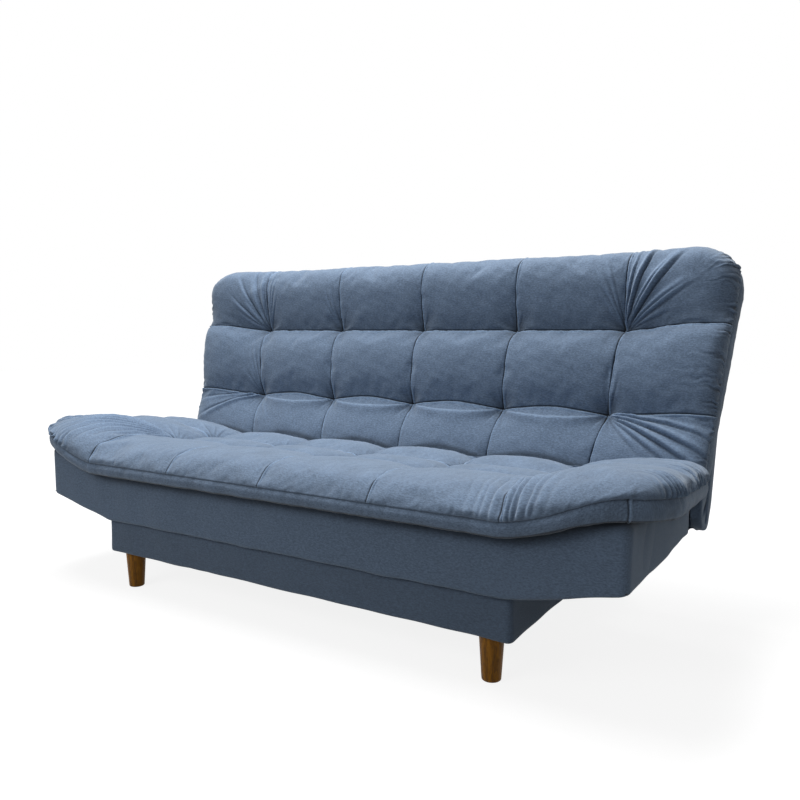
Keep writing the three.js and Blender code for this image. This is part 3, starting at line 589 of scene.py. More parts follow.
def grow_rim(bm, edges, known):
    """Extrudes a rim of edges. Gives the new vertices, each with what is known of the one that it
    came from, and the new rim."""
    grown = bmesh.ops.extrude_edge_only(bm, edges=edges)["geom"]
    fresh = [part for part in grown if isinstance(part, bmesh.types.BMVert)]
    source = {
        vertex: next(
            known[other] for edge in vertex.link_edges
            if (other := edge.other_vert(vertex)) in known
        )
        for vertex in fresh
    }
    rim = [
        part for part in grown
        if isinstance(part, bmesh.types.BMEdge) and all(end in source for end in part.verts)
    ]
    return source, rim


def quilt(name, form, seams, out_at, place, bands, lie=None):
    """A pad's cloth as a mesh: the front panel, and the bands that go on from its border seam.

    Each band gives how far the cloth has run on from the seam, and, from the border's points and
    the way they face, the next line of points. The lie says how far the stuffing pushes each point
    of the cloth up from its own line."""
    edges_up = [form.flat_low, *seams.rows, form.flat_high]
    usual = float(seams.spacing(np.mean(seams.rows)))
    outer = float(form.flat_half(np.mean(seams.rows)))
    edges_across = [-outer, *(usual * column for column in COLUMNS), outer]
    columns, lines = stations(edges_across), stations(edges_up)

    bm = bmesh.new()
    bmesh.ops.create_grid(bm, x_segments=len(columns) - 1, y_segments=len(lines) - 1, size=0.5)
    bm.verts.ensure_lookup_table()
    grid = np.array([vertex.co for vertex in bm.verts])
    cell_across = columns[np.rint((grid[:, 0] + 0.5) * (len(columns) - 1)).astype(int)]
    cell_up = lines[np.rint((grid[:, 1] + 0.5) * (len(lines) - 1)).astype(int)]
    flat_up = np.interp(cell_up, np.arange(len(edges_up)), edges_up)
    # Between the outermost seams the cells follow the spacing; the last one reaches to the side
    column = cell_across - (LAST_COLUMN + 1)
    seam, steps = seams.spacing(flat_up), np.abs(column)
    last_seam = LAST_COLUMN * seam
    beyond = last_seam + (steps - LAST_COLUMN) * (form.flat_half(flat_up) - last_seam)
    flat_x = np.sign(column) * np.where(steps <= LAST_COLUMN, steps * seam, beyond)

    across, up, rise, outward = form.drape(flat_x, flat_up)
    out = out_at(flat_x, flat_up, across, up, rise)
    if lie:
        up = up + lie(flat_x, flat_up)
    cloth_layer = bm.loops.layers.uv.new("Cloth")
    for vertex, co in zip(bm.verts, place(across, up, out)):
        vertex.co = co
    for face in bm.faces:
        for loop in face.loops:
            loop[cloth_layer].uv = (flat_x[loop.vert.index], flat_up[loop.vert.index])

    border = {vertex: vertex.index for vertex in bm.verts if vertex.is_boundary}
    edges = [edge for edge in bm.edges if edge.is_boundary]
    before = 0.0
    for run, band in bands:
        source, edges = grow_rim(bm, edges, border)
        index = np.array(list(source.values()))
        places = place(*band(across[index], up[index], out[index], outward[index]))
        for vertex, co in zip(source, places):
            vertex.co = co
        for face in {face for vertex in source for face in vertex.link_faces}:
            for loop in face.loops:
                is_new = loop.vert in source
                known = source[loop.vert] if is_new else border[loop.vert]
                away = outward[known] * (run if is_new else before)
                loop[cloth_layer].uv = (flat_x[known] + away[0], flat_up[known] + away[1])
        border, before = source, run
    bmesh.ops.recalc_face_normals(bm, faces=bm.faces)
    return new_piece(name, bm, "Pad suede")


def close_underside(piece):
    """Fills the open loop that the last band leaves."""
    bm = bmesh.new()
    bm.from_mesh(piece.data)
    edges = [edge for edge in bm.edges if edge.is_boundary]
    bmesh.ops.holes_fill(bm, edges=edges, sides=0)
    bmesh.ops.recalc_face_normals(bm, faces=bm.faces)
    bm.to_mesh(piece.data)
    bm.free()
    piece.data.shade_smooth()


def cloth_places(piece):
    """The place of each vertex on the flat cloth."""
    mesh = piece.data
    values = np.zeros(len(mesh.loops) * 2)
    mesh.uv_layers["Cloth"].data.foreach_get("uv", values)
    owners = np.zeros(len(mesh.loops), int)
    mesh.loops.foreach_get("vertex_index", owners)
    found = np.zeros((len(mesh.vertices), 2))
    found[owners] = values.reshape(-1, 2)
    return found[:, 0], found[:, 1]


def inflate(piece, held, pressure, slack, reach):
    """Fills the pad: the cloth, a little larger than its form, swells between its held seams."""
    scene = bpy.context.scene
    group = piece.vertex_groups.new(name="Held")
    for weight in np.unique(held[held > 0]):
        group.add(np.flatnonzero(held == weight).tolist(), float(weight), "REPLACE")
    filling = piece.modifiers.new("Filling", "CLOTH")
    cloth = filling.settings
    cloth.quality = 6
    cloth.mass = 0.25
    cloth.tension_stiffness = cloth.compression_stiffness = 12
    cloth.shear_stiffness = 6
    cloth.bending_stiffness = 0.6
    cloth.shrink_min = -slack
    cloth.use_pressure = True
    cloth.uniform_pressure_force = pressure
    cloth.vertex_group_mass = group.name
    cloth.effector_weights.gravity = 0
    filling.collision_settings.use_collision = False
    before = points(piece)
    for step in range(1, FILLING_FRAMES + 1):
        scene.frame_set(step)
    shaped = piece.evaluated_get(bpy.context.evaluated_depsgraph_get())
    after = np.zeros(len(before) * 3)
    shaped.data.vertices.foreach_get("co", after)
    moved = after.reshape(-1, 3) - before
    length = np.linalg.norm(moved, axis=1, keepdims=True)
    piece.modifiers.remove(filling)
    piece.vertex_groups.clear()
    scene.frame_set(1)
    set_points(piece, before + moved * (reach * np.tanh(length / reach) / np.maximum(length, 1e-9)))


def seam_line(distance):
    """A sewn seam, with the cloth folded under on one side and topstitched there."""
    groove = -2.2 * MM * bell(distance, 1.5 * MM)
    fold = 2.0 * MM * bell(distance - 4.2 * MM, 2.4 * MM)
    topstitch = -0.7 * MM * bell(distance - 8.4 * MM, 1.1 * MM)
    return groove + fold + topstitch


def fold_fan(x, y, centre, folds):
    """Pleats that run out from a tuft: soft ridges, each with a sharp crease along one side. Each
    has a heading and a bend in degrees, a reach, a width and a height."""
    dx, dy = x - centre[0], y - centre[1]
    away = np.hypot(dx, dy)
    heading = np.degrees(np.arctan2(dy, dx))
    raised = np.zeros_like(x)
    for toward, bend, reach, width, height in folds:
        turned = (heading - toward - bend * away / reach + 180) % 360 - 180
        aside = np.radians(turned) * away
        broad = width * (0.3 + 0.7 * np.clip(away / reach, 0, 1.2))
        fade = smoothstep(away, 0.004, 0.04) * (1 - smoothstep(away, reach * 0.45, reach))
        fade = fade * (np.abs(turned) < 75)
        ridge, crease = bell(aside, broad), bell(aside + broad * 1.2, broad * 0.45)
        raised += height * fade * (ridge - 0.9 * crease)
    return raised


def add_up_fans(x, up, seams, fans):
    """The pleats of every tuft listed. A fan names its tuft by column, from the middle, and row."""
    total = np.zeros_like(x)
    for column, row, folds in fans:
        total += fold_fan(x, up, seams.tuft(column, row), folds)
    return total


def along_border(form, x, up, at_high):
    """Distance along the border seam from the middle of an upper or lower corner, positive on the
    side, and the inset from the border."""
    corner = form.corner_high if at_high else form.corner_low
    side_room = corner + form.spare(form.roll_side, form.tuck_side)
    if at_high:
        end_room = corner + form.spare(form.roll_high, form.tuck_high)
        from_end = form.flat_high - up
    else:
        end_room = corner + form.spare(form.roll_low, form.tuck_low)
        from_end = up - form.flat_low
    from_side = form.flat_half(up) - np.abs(x)
    past_side, past_end = 1 - from_side / side_room, 1 - from_end / end_room
    toward_side, toward_end = np.clip(past_side, 0, None), np.clip(past_end, 0, None)
    outermost = np.maximum(toward_side, toward_end)
    quarter = math.pi / 4 * np.minimum(toward_side, toward_end) / np.maximum(outermost, 1e-9)
    is_side = np.where(outermost <= 0, from_side < from_end, toward_side > toward_end)
    angle = np.where(is_side, math.pi / 2 - quarter, quarter)
    along = corner * (angle - math.pi / 4)
    along += np.where(is_side & (past_end <= 0), -past_end * end_room, 0)
    along -= np.where(~is_side & (past_side <= 0), -past_side * side_room, 0)
    return along, np.minimum(from_side, from_end)


def gathers(along, inset, wavelength, reach, height, seed):
    """Puckers square to a border seam, uneven in spacing, length and height."""
    rng = np.random.default_rng(seed)
    drift = sum(
        rng.uniform(0.2, 0.5) * np.sin(along * rng.uniform(6, 40) + rng.uniform(0, 6.3))
        for _ in range(6)
    )
    wander = ripples(along, inset, wavelength=0.05, height=0.28 * wavelength, seed=seed + 50)
    wave = np.sin((along + wander) / wavelength * 2 * math.pi + 3 * drift)
    length = reach * (0.7 + 0.45 * np.sin(along * 47 + 5 * drift))
    uneven = 0.65 + 0.5 * np.sin(along * 29 + 4 * drift)
    pucker = np.where(wave > 0, np.power(np.abs(wave), 0.8), -np.power(np.abs(wave), 0.6))
    fade = bell(inset, length) * smoothstep(inset, 0, 0.004)
    return height * uneven * pucker * fade


def ripples(x, y, wavelength, height, seed, count=14):
    """The uneven lie of stuffed cloth: many low waves in every direction."""
    rng = np.random.default_rng(seed)
    total = np.zeros_like(x)
    for _ in range(count):
        heading = rng.uniform(0, 2 * math.pi)
        number = 2 * math.pi / (wavelength * rng.uniform(0.6, 1.7))
        across_waves = x * math.cos(heading) + y * math.sin(heading)
        total += np.sin(number * across_waves + rng.uniform(0, 6.3))
    return height * total / math.sqrt(count)


def inset_from_border(form, x, up):
    """Distance along the flat cloth to the nearest edge of the front panel."""
    from_end = np.minimum(form.flat_high - up, up - form.flat_low)
    return np.minimum(form.flat_half(up) - np.abs(x), from_end)


def raise_cloth(piece, amount):
    """Moves each point along its normal."""
    set_points(piece, points(piece) + normals(piece) * amount[:, None])


def keep_painted_light(piece, value):
    """Tells the material where highlights are painted on the ridges and where shade is painted in the deep places.
    """
    painted_light = piece.data.attributes.new("painted_light", "FLOAT", "POINT")
    painted_light.data.foreach_set("value", np.clip(value, DARKEST, PALEST).astype(np.float32))


def seam_shading(distances):
    """Painted shade where a seam closes over itself, and a painted highlight on the fold beside it."""
    marks = np.zeros_like(distances[0])
    for distance in distances:
        marks -= 1.3 * bell(distance + 0.5 * MM, 1.9 * MM)
        marks += 1.5 * bell(distance - 5.0 * MM, 2.8 * MM)
        marks -= 0.3 * bell(distance - 8.8 * MM, 1.0 * MM)
    return marks


def tuft_shade(beside, above, strength, below=0.024, over=0.03, aside=0.022):
    """Dark pockets round the tufts, reaching further above them than below."""
    reach = np.where(above > 0, over, below)
    return -strength * np.exp(-np.hypot(beside / aside, above / reach))


# ---------------------------------------------------------------- The backrest's own frame


def to_back_frame(places):
    """From the sofa's frame to the backrest's own: across, up and out."""
    at = places - np.array(PIVOT)
    up = at[:, 1] * math.sin(RECLINE) + at[:, 2] * math.cos(RECLINE)
    out = -at[:, 1] * math.cos(RECLINE) + at[:, 2] * math.sin(RECLINE)
    return np.stack([at[:, 0], up, out], axis=1)


def in_back_frame(name):
    """Lowest and highest corners of a node in the backrest's own frame."""
    local = to_back_frame(points(frame["nodes"][name]))
    return local.min(axis=0), local.max(axis=0)


def back_place(across, up, out):
    """From the backrest's own frame, which leans back from the hinge axis, to the sofa's."""
    y = PIVOT.y + up * math.sin(RECLINE) - out * math.cos(RECLINE)
    z = PIVOT.z + up * math.cos(RECLINE) + out * math.sin(RECLINE)
    return np.stack([across, y, z], axis=1)


# ---------------------------------------------------------------- Back pad


def back_seams():
    s = sizes()

    def spacing(up):
        return s.back_spacing * np.interp(up, (-0.05, *BACK_ROWS, 0.6), (0.915, 0.966, 1.0, 1.011))

    def column_depth(up):
        return s.seam_depth * np.interp(
            up, (-0.05, BACK_ROWS[0], 0.25, BACK_ROWS[1], 0.46, 0.6), (1, 1.1, 1.1, 0.9, 0.5, 0.4),
        )

    return Seams(
        spacing, BACK_ROWS, row_depths=(0.024, 0.023),
        tuft_depths=(s.tuft_depth, 0.8 * s.tuft_depth), column_depth=column_depth,
        reaches=(0.028, 0.022, 0.018, 0.042),
    )


def back_form():
    return PadForm(
        halves=(0.866, 0.921), ends=(-0.046, 0.615), corners=(0.07, 0.125), rolls=(0.05, 0.058),
        roll_side=0.042, tucks=(0.0, 0.1), tuck_side=0.25,
    )


def swags(x, up, seams, drop):
    """Loose cloth that hangs from the lower tufts in shallow curves, each ending in a crisp ridge:
    its height, and a painted highlight along the ridge."""
    row = seams.rows[0]
    cell = x / seams.spacing(up)
    share = cell - np.floor(cell)
    hang = drop * np.power(np.sin(math.pi * share), 0.75)
    above = up - (row - hang)
    ridge = bell(above, np.where(above > 0, 0.004, 0.016))
    hollow = smoothstep(above, 0, 0.007) * smoothstep(row - up, 0, 0.006)
    ridge_highlight = bell(above, 0.0034)
    within = smoothstep(share, 0.02, 0.14) * (1 - smoothstep(share, 0.86, 0.98))
    inner = np.abs(cell) < LAST_COLUMN
    return within * inner * (0.006 * ridge - 0.0035 * hollow), within * inner * ridge_highlight


# Height of the back pad's crown, at its distance up from the hinge axis
BACK_CROWN = (
    (-0.05, -0.028), (-0.03, -0.018), (0.0, -0.008), (0.03, -0.004), (0.06, -0.004),
    (0.09, -0.008), (0.12, -0.013), (0.14, -0.014), (0.158, -0.011), (0.18, -0.013),
    (0.21, -0.010), (0.25, -0.005), (0.29, 0.001), (0.33, 0.004), (0.36, 0.004), (0.39, -0.011),
    (0.42, -0.014), (0.44, -0.010), (0.48, 0.002), (0.51, 0.012), (0.54, 0.018), (0.568, 0.019),
    (0.60, 0.015), (0.62, 0.012),
)

# Pleats round the back's tufts: column, row, then heading, bend, reach, width and height of each
BACK_FANS = (
    # Upper left tuft: a wide fan towards the top corner, and short ones right of the seam
    (-2, 1, (
        (97, -2, 0.26, 0.006, 0.0045), (105, -8, 0.24, 0.011, 0.007), (115, -6, 0.27, 0.008, 0.007),
        (123, -11, 0.23, 0.012, 0.0085), (134, -7, 0.26, 0.010, 0.0075),
        (143, -11, 0.2, 0.012, 0.0065), (152, -6, 0.22, 0.009, 0.005),
        (163, -6, 0.16, 0.010, 0.0035),
        (82, 4, 0.24, 0.006, 0.0035), (75, 6, 0.2, 0.007, 0.0035), (66, 6, 0.15, 0.008, 0.003),
    )),
    (-1, 1, (
        (111, -4, 0.17, 0.009, 0.0022), (121, -4, 0.16, 0.009, 0.0024),
        (131, -4, 0.12, 0.009, 0.0018),
    )),
    # Upper right tuft: long, strong pleats up to the top edge
    (2, 1, (
        (83, -2, 0.27, 0.005, 0.006), (76, -4, 0.29, 0.009, 0.010), (66, -9, 0.24, 0.006, 0.006),
        (58, -4, 0.29, 0.013, 0.010), (45, -9, 0.22, 0.008, 0.005), (36, -2, 0.25, 0.014, 0.005),
        (24, -3, 0.16, 0.010, 0.0025),
        (104, 3, 0.22, 0.008, 0.003), (112, 4, 0.2, 0.009, 0.0035), (121, 5, 0.15, 0.009, 0.0022),
    )),
    # Lower left tuft: folds up along the seam, and out to the left edge
    (-2, 0, (
        (96, 3, 0.22, 0.006, 0.0035), (104, 2, 0.2, 0.007, 0.0035), (113, 0, 0.16, 0.009, 0.003),
        (124, -4, 0.13, 0.010, 0.0024), (137, -4, 0.12, 0.010, 0.002),
        (186, 6, 0.3, 0.010, 0.006), (198, 8, 0.3, 0.012, 0.007), (-52, 4, 0.12, 0.010, 0.002),
    )),
    # Lower right tuft: pleats that swing out to the lower right corner
    (2, 0, (
        (-3, -9, 0.34, 0.009, 0.0065), (-12, -8, 0.34, 0.011, 0.009), (-22, -5, 0.33, 0.012, 0.009),
        (-33, 0, 0.26, 0.012, 0.006), (-46, 4, 0.18, 0.012, 0.004),
        (84, 4, 0.18, 0.006, 0.003), (72, 6, 0.13, 0.009, 0.002),
    )),
    # Short creases round every tuft
    *((column, row, folds) for column in COLUMNS for row, folds in enumerate((
        (
            (75, 0, 0.07, 0.006, 0.0016), (105, 0, 0.07, 0.006, 0.0016),
            (-65, 0, 0.08, 0.008, 0.0018), (-118, 0, 0.07, 0.008, 0.0016),
        ),
        (
            (70, 0, 0.07, 0.007, 0.0016), (112, 0, 0.07, 0.007, 0.0016),
            (-75, 0, 0.06, 0.007, 0.0014),
        ),
    ))),
)


class SOFA_OT_back_pad(Operator):
    """The back pad, tufted in two rows, with pleats at its ends"""

    bl_idname = "sofa.back_pad"
    bl_label = "Back pad"

    def execute(self, context):
        s = sizes()
        form, seams = back_form(), back_seams()

        def crest(across, up):
            end = smoothstep(np.abs(across), 0.64, 0.84) * smoothstep(up, 0.0, 0.35)
            return s.back_crest + smooth_through(up, BACK_CROWN) + 0.024 * end

        def border(up):
            """How far out the border seam lies: forward on the sides, and back over the top."""
            return 0.055 - 0.025 * smoothstep(up, 0.52, 0.6) - 0.02 * smoothstep(-up, -0.1, 0.04)

        def out_at(flat_x, flat_up, across, up, rise):
            at_end = 1 - 0.75 * smoothstep(np.abs(flat_x), 0.68, 0.88)
            low, high = border(up), crest(across, up)
            return low + (high - low - seams.drawn(flat_x, flat_up, at_end)) * rise

        def band(inset, drop):
            """A line of the border, inset from its seam and partly down to the frame's face."""
            return lambda x, y, out, face: (
                x - face[:, 0] * inset, y - face[:, 1] * inset, out + (frame_face - out) * drop,
            )

        frame_face = -0.03
        bands = [
            (0.004, band(0.003, 0.04)), (0.012, band(-0.002, 0.15)), (0.04, band(-0.004, 0.5)),
            (0.07, band(0.0, 0.85)), (0.085, band(0.004, 0.97)), (0.1, band(0.018, 1.0)),
        ]

        def lie(flat_x, flat_up):
            """The seams are held at the tufts and pushed up between them."""
            cell = flat_x / seams.spacing(flat_up)
            arch = np.square(np.sin(math.pi * cell)) * (np.abs(cell) < LAST_COLUMN)
            end = smoothstep(np.abs(flat_x), 0.64, 0.8)
            low_row = bell(flat_up - BACK_ROWS[0], 0.05)
            high_row = bell(flat_up - BACK_ROWS[1], 0.06)
            return 0.012 * arch * low_row + end * (0.006 * low_row + 0.007 * high_row)

        def place(across, up, out):
            """The pad sits a little left of the middle."""
            return back_place(across - 0.004, up, out)

        pad = quilt("back_pad_cloth", form, seams, out_at, place, bands, lie)
        flat_x, flat_up = cloth_places(pad)
        beside = seams.column(flat_x, flat_up)
        inside = inset_from_border(form, flat_x, flat_up) > 0.004
        on_row = np.min([np.abs(flat_up - row) for row in seams.rows], axis=0) < 0.002
        on_row = on_row & (np.abs(flat_x) < 0.82)
        held = np.where(~inside | on_row | (np.abs(beside) < 0.001), 1.0, 0.0)
        inflate(pad, held, pressure=0.9, slack=0.012, reach=0.012)
        subdivide(pad, 2)
        self.add_folds(pad, form, seams)
        close_underside(pad)
        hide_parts("back_pad")
        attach(pad, "backrest")
        return {"FINISHED"}

    def add_folds(self, pad, form, seams):
        s = sizes()
        x, up = cloth_places(pad)
        beside = seams.column(x, up)
        inset = inset_from_border(form, x, up)
        on_panel = smoothstep(inset, 0.0, 0.01)
        fold = add_up_fans(x, up, seams, BACK_FANS)
        swag, swag_highlight = swags(x, up, seams, drop=0.033)

        along, in_from = along_border(form, x, up, at_high=True)
        corner = bell(along - 0.05, 0.09)
        on_side = smoothstep(along, -0.06, 0.02)
        on_right, on_left = (x > 0) * on_side, (x < 0) * on_side
        pucker = 0.0035

        def gathered(wavelength, reach, height, draw):
            return gathers(along, in_from, wavelength, reach, height, s.seed + draw)

        puckers = gathered(wavelength=0.015, reach=0.042, height=pucker, draw=0)
        puckers = on_right * puckers * (0.95 + corner)
        fold += puckers
        fold += on_right * gathered(wavelength=0.022, reach=0.10, height=0.0009, draw=1)
        fold += on_left * gathered(wavelength=0.022, reach=0.055, height=0.0022, draw=2)
        fold = fold * s.pleats * on_panel
        lie = ripples(x, up, wavelength=0.09, height=0.0005, seed=s.seed + 3)
        lie += ripples(x, up, wavelength=0.035, height=0.00035, seed=s.seed + 4)

        lines = [beside, *(row - up for row in seams.rows)]
        sewing = sum(seam_line(line) for line in lines) * on_panel
        sewing -= 1.6 * MM * bell(inset, 2.0 * MM)
        raise_cloth(pad, fold + swag + lie + sewing)
        # Painted shade in the seams and along the border seam, and painted highlights beside the seams and on the
        # swags' ridges
        marks = seam_shading(lines) * on_panel - 0.8 * bell(inset, 1.8 * MM)
        marks += 0.8 * swag_highlight
        # The seat pad's scalloped rear edge keeps the light from the cloth it leans on
        touch = 0.024 * np.abs(np.sin(math.pi * x / (0.93 * s.seat_spacing)))
        marks -= 0.75 * bell(up - touch, 0.008)
        # The cloth above each row faces down and lies in shade
        for row, dusk in zip(seams.rows, (0.2, 0.36)):
            above = up - row
            marks += tuft_shade(beside, above, 0.9)
            marks -= dusk * bell(above, 0.07) * smoothstep(above, 0, 0.004)
        # Painted highlights on the ridges of the puckers and pleats, and painted shade in their creases
        marks += np.clip(puckers / pucker, -1.1, 0.3) * on_panel
        keep_painted_light(pad, marks + np.clip(fold / 0.009, -0.7, 0.45))


# ---------------------------------------------------------------- Seat pad


def flat_place(across, up, out):
    """The seat pad lies flat: up along the pad is towards the rear, and out is upwards."""
    return np.stack([across, up, out], axis=1)


def box_top(y):
    """Height of the seat box's sloping top."""
    low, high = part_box("seat_cover")
    return high.z - (y - low.y) * BOX_SLOPE


def on_fascia(x):
    """1 along the seat's front, where the roll hangs down, fading towards both ends."""
    return 1 - smoothstep(np.abs(x), 0.6, 0.85)


# Height of the seat pad's crown, at its distance behind the pad's front
SEAT_CROWN = (
    (0, 0.396), (0.03, 0.405), (0.06, 0.410), (0.09, 0.4125), (0.12, 0.413), (0.18, 0.410),
    (0.24, 0.403), (0.30, 0.395), (0.37, 0.395), (0.44, 0.390), (0.50, 0.397), (0.55, 0.392),
    (0.58, 0.384),
)

# Pleats round the seat's tufts, as in BACK_FANS
SEAT_FANS = (
    # The left end: curved folds from the first tuft down to the band
    (-2, 0, (
        (178, 8, 0.3, 0.010, 0.005), (189, 12, 0.34, 0.011, 0.008), (199, 14, 0.36, 0.011, 0.009),
        (208, 15, 0.37, 0.011, 0.010), (217, 15, 0.38, 0.011, 0.010), (226, 14, 0.38, 0.011, 0.009),
        (235, 12, 0.36, 0.011, 0.008), (244, 9, 0.34, 0.010, 0.0065), (253, 6, 0.3, 0.009, 0.005),
        (160, 0, 0.12, 0.008, 0.002), (140, 0, 0.1, 0.008, 0.002),
    )),
    (-2, 1, (
        (110, 0, 0.1, 0.007, 0.003), (135, 0, 0.1, 0.008, 0.003), (160, 0, 0.12, 0.009, 0.003),
        (185, 0, 0.14, 0.010, 0.003), (210, 0, 0.1, 0.008, 0.0025),
    )),
    (2, 0, (
        (-8, -6, 0.22, 0.010, 0.003), (-25, -8, 0.25, 0.011, 0.003), (8, -4, 0.18, 0.010, 0.0025),
    )),
    # Short creases round every tuft
    *((column, row, (
        (62, 0, 0.07, 0.007, 0.0018), (118, 0, 0.07, 0.007, 0.0018),
        (-62, 0, 0.06, 0.007, 0.0015), (-118, 0, 0.06, 0.007, 0.0015),
    )) for column in COLUMNS for row in (0, 1)),
)

# Pleats that run over the front roll beside the right-hand seam: offset from it, height and width
ROLL_PLEATS = (
    (-0.070, 0.0010, 0.006), (-0.049, 0.0018, 0.007), (-0.036, 0.0022, 0.005),
    (-0.017, 0.0030, 0.006), (0.012, 0.0060, 0.005), (0.023, 0.0050, 0.004),
    (0.038, 0.0055, 0.007), (0.056, 0.0028, 0.005), (0.073, 0.0022, 0.008), (0.098, 0.0010, 0.009),
)


class SOFA_OT_seat_pad(Operator):
    """The seat pad, tufted in two rows, with a front roll and a border band"""

    bl_idname = "sofa.seat_pad"
    bl_label = "Seat pad"

    def execute(self, context):
        s = sizes()
        low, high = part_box("seat_pad")
        front = low.y + 0.005
        rows = tuple(front + row for row in SEAT_ROWS)
        form = PadForm(
            halves=(0.93, 0.893), ends=(front, high.y), corners=(0.2, 0.08), rolls=(0.038, 0.03),
            roll_side=0.05, tucks=(0.22, 0.2), tuck_side=0.25,
        )

        def spacing(up):
            run = up - front
            return s.seat_spacing * np.interp(run, (0, SEAT_ROWS[1], 0.58), (1.0, 0.958, 0.929))

        def column_depth(up):
            return s.seam_depth * np.interp(
                up - front, (0, 0.12, 0.22, 0.32, 0.58), (0.25, 0.3, 0.8, 1.9, 2.8),
            )

        seams = Seams(
            spacing, rows, row_depths=(0.010, 0.009), tuft_depths=(0.024, 0.032),
            column_depth=column_depth, reaches=(0.03, 0.03, 0.028, 0.035),
        )

        def crest(across, up):
            """The crown, and how much both ends are raised above it."""
            run = up - front
            raised = np.interp(run, (0, 0.1, 0.2, 0.4, 0.58), (0.037, 0.051, 0.052, 0.049, 0.02))
            return smooth_through(run, SEAT_CROWN) + raised * smoothstep(np.abs(across), 0.52, 0.8)

        def lip(x, y):
            """Height of the band's lowest edge: on the box's top, and below it under the roll."""
            overhang = on_fascia(x) * (1 - smoothstep(y, front + 0.03, front + 0.15))
            return box_top(y) + 0.003 - ROLL_DROOP * overhang

        def border(x, y):
            """Height of the seam between the panel and the band."""
            to_rear = 1 - smoothstep(y, front + 0.15, front + 0.45)
            at_corner = smoothstep(np.abs(x), 0.7, 0.84) * to_rear
            taller = 0.011 * at_corner
            return lip(x, y) + 0.034 + taller + 0.006 * smoothstep(y, front + 0.2, front + 0.45)

        def out_at(flat_x, flat_up, across, up, rise):
            low, high = border(across, up), crest(across, up)
            return low + (high - low - seams.drawn(flat_x, flat_up)) * rise

        def band(inset, drop, lift=0.0):
            """A line of the border band, inset from its seam and partly down to the lip."""
            return lambda x, y, out, face: (
                x - face[:, 0] * inset, y - face[:, 1] * inset,
                out + (lip(x, y) - out) * drop + lift,
            )

        bands = [
            (0.004, band(0.002, 0.06)), (0.01, band(-0.002, 0.25)), (0.019, band(-0.001, 0.54)),
            (0.025, band(0.0025, 0.76)), (0.031, band(0.008, 0.92)), (0.037, band(0.015, 1.0)),
            (0.05, band(0.027, 1.0, 0.003)), (0.066, band(0.042, 1.0, 0.013)),
            (0.08, band(0.055, 1.0, 0.022)),
        ]
        pad = quilt("seat_pad_cloth", form, seams, out_at, flat_place, bands)
        flat_x, flat_up = cloth_places(pad)
        beside = seams.column(flat_x, flat_up)
        inside = inset_from_border(form, flat_x, flat_up) > 0.004
        on_row = np.abs(flat_up - rows[1]) < 0.002
        on_tuft = np.hypot(flat_up - rows[0], beside) < 0.006
        on_column = (np.abs(beside) < 0.001) & (flat_up > front + 0.2)
        sewn_down = ~inside | on_row | on_tuft | on_column
        held = np.where(sewn_down, 1.0, 0.0)
        inflate(pad, held, pressure=0.55, slack=0.009, reach=0.009)
        subdivide(pad, 2)
        self.add_folds(pad, form, seams, lip)
        close_underside(pad)
        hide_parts("seat_pad")
        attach(pad, "base")
        return {"FINISHED"}

    def add_folds(self, pad, form, seams, lip):
        s = sizes()
        x, up = cloth_places(pad)
        beside = seams.column(x, up)
        inset = inset_from_border(form, x, up)
        on_panel = smoothstep(inset, 0.0, 0.008)
        fold = add_up_fans(x, up, seams, SEAT_FANS)

        run = up - form.flat_low
        off = x - LAST_COLUMN * seams.spacing(up)
        rolls_over = smoothstep(run, 0.0, 0.012) * (1 - smoothstep(run, 0.10, 0.19))
        spread_out = 1 + 1.8 * run
        for offset, height, width in ROLL_PLEATS:
            seed = int(1000 * abs(offset))
            wander = ripples(run, run, wavelength=0.07, height=0.0009, seed=seed)
            aside = off - offset * spread_out + wander
            ridge, crease = bell(aside, width), bell(aside + 1.3 * width, 0.5 * width)
            fold += height * rolls_over * (ridge - 0.75 * crease)

        along, in_from = along_border(form, x, up, at_high=False)
        right, left = x > 0, x < 0
        rear_side = smoothstep(along, 0.02, 0.1)
        at_corner = 1 - smoothstep(np.abs(along), 0.1, 0.2)

        def gathered(wavelength, reach, height, draw):
            return gathers(along, in_from, wavelength, reach, height, s.seed + draw)

        fold += right * rear_side * gathered(wavelength=0.013, reach=0.065, height=0.006, draw=5)
        fold += left * at_corner * gathered(wavelength=0.021, reach=0.10, height=0.0075, draw=6)
        fold += left * rear_side * gathered(wavelength=0.016, reach=0.04, height=0.003, draw=7)
        fold += gathered(wavelength=0.028, reach=0.03, height=0.0007, draw=8)
        fold = fold * s.pleats * on_panel
        fold += ripples(x, up, wavelength=0.08, height=0.0006, seed=s.seed + 9)
        fold += ripples(x, up, wavelength=0.03, height=0.0003, seed=s.seed + 10)

        # The front row is sewn only at its tufts; the rear row and the columns run right through
        lines = [beside, seams.rows[1] - up]
        front_row = seams.rows[0] - up + 0.012 * np.square(beside / 0.15)
        near_tuft = bell(beside, 0.03)
        sewing = sum(seam_line(line) for line in lines) + near_tuft * seam_line(front_row)
        sewing = sewing * on_panel - 1.8 * MM * bell(inset, 2.0 * MM)
        # The band is pieced at its front corners
        on_band = inset < 0.001
        corner_seam = np.where(on_band, along + 0.031, 1.0)
        sewing += seam_line(corner_seam)
        raise_cloth(pad, fold + sewing)
        # Painted shade in the seams and along the border seam, and painted highlights on the folds beside the
        # seams
        marks = seam_shading(lines) * on_panel - 0.85 * bell(inset, 1.8 * MM)
        marks += seam_shading([front_row]) * near_tuft * on_panel + seam_shading([corner_seam])
        for row in seams.rows:
            marks += tuft_shade(beside, up - row, 0.8, below=0.03, over=0.03, aside=0.026)
        # The band's lowest edge lies in its own shadow
        at = points(pad)
        above_lip = at[:, 2] - lip(at[:, 0], at[:, 1])
        marks += DARKEST * (1 - smoothstep(above_lip, 0.004, 0.0085)) * on_band
        # Painted highlights on the ridges of the pleats and painted shade in their creases
        keep_painted_light(pad, marks + np.clip(fold / 0.0075, -0.95, 0.45))


# ---------------------------------------------------------------- Fabric covers


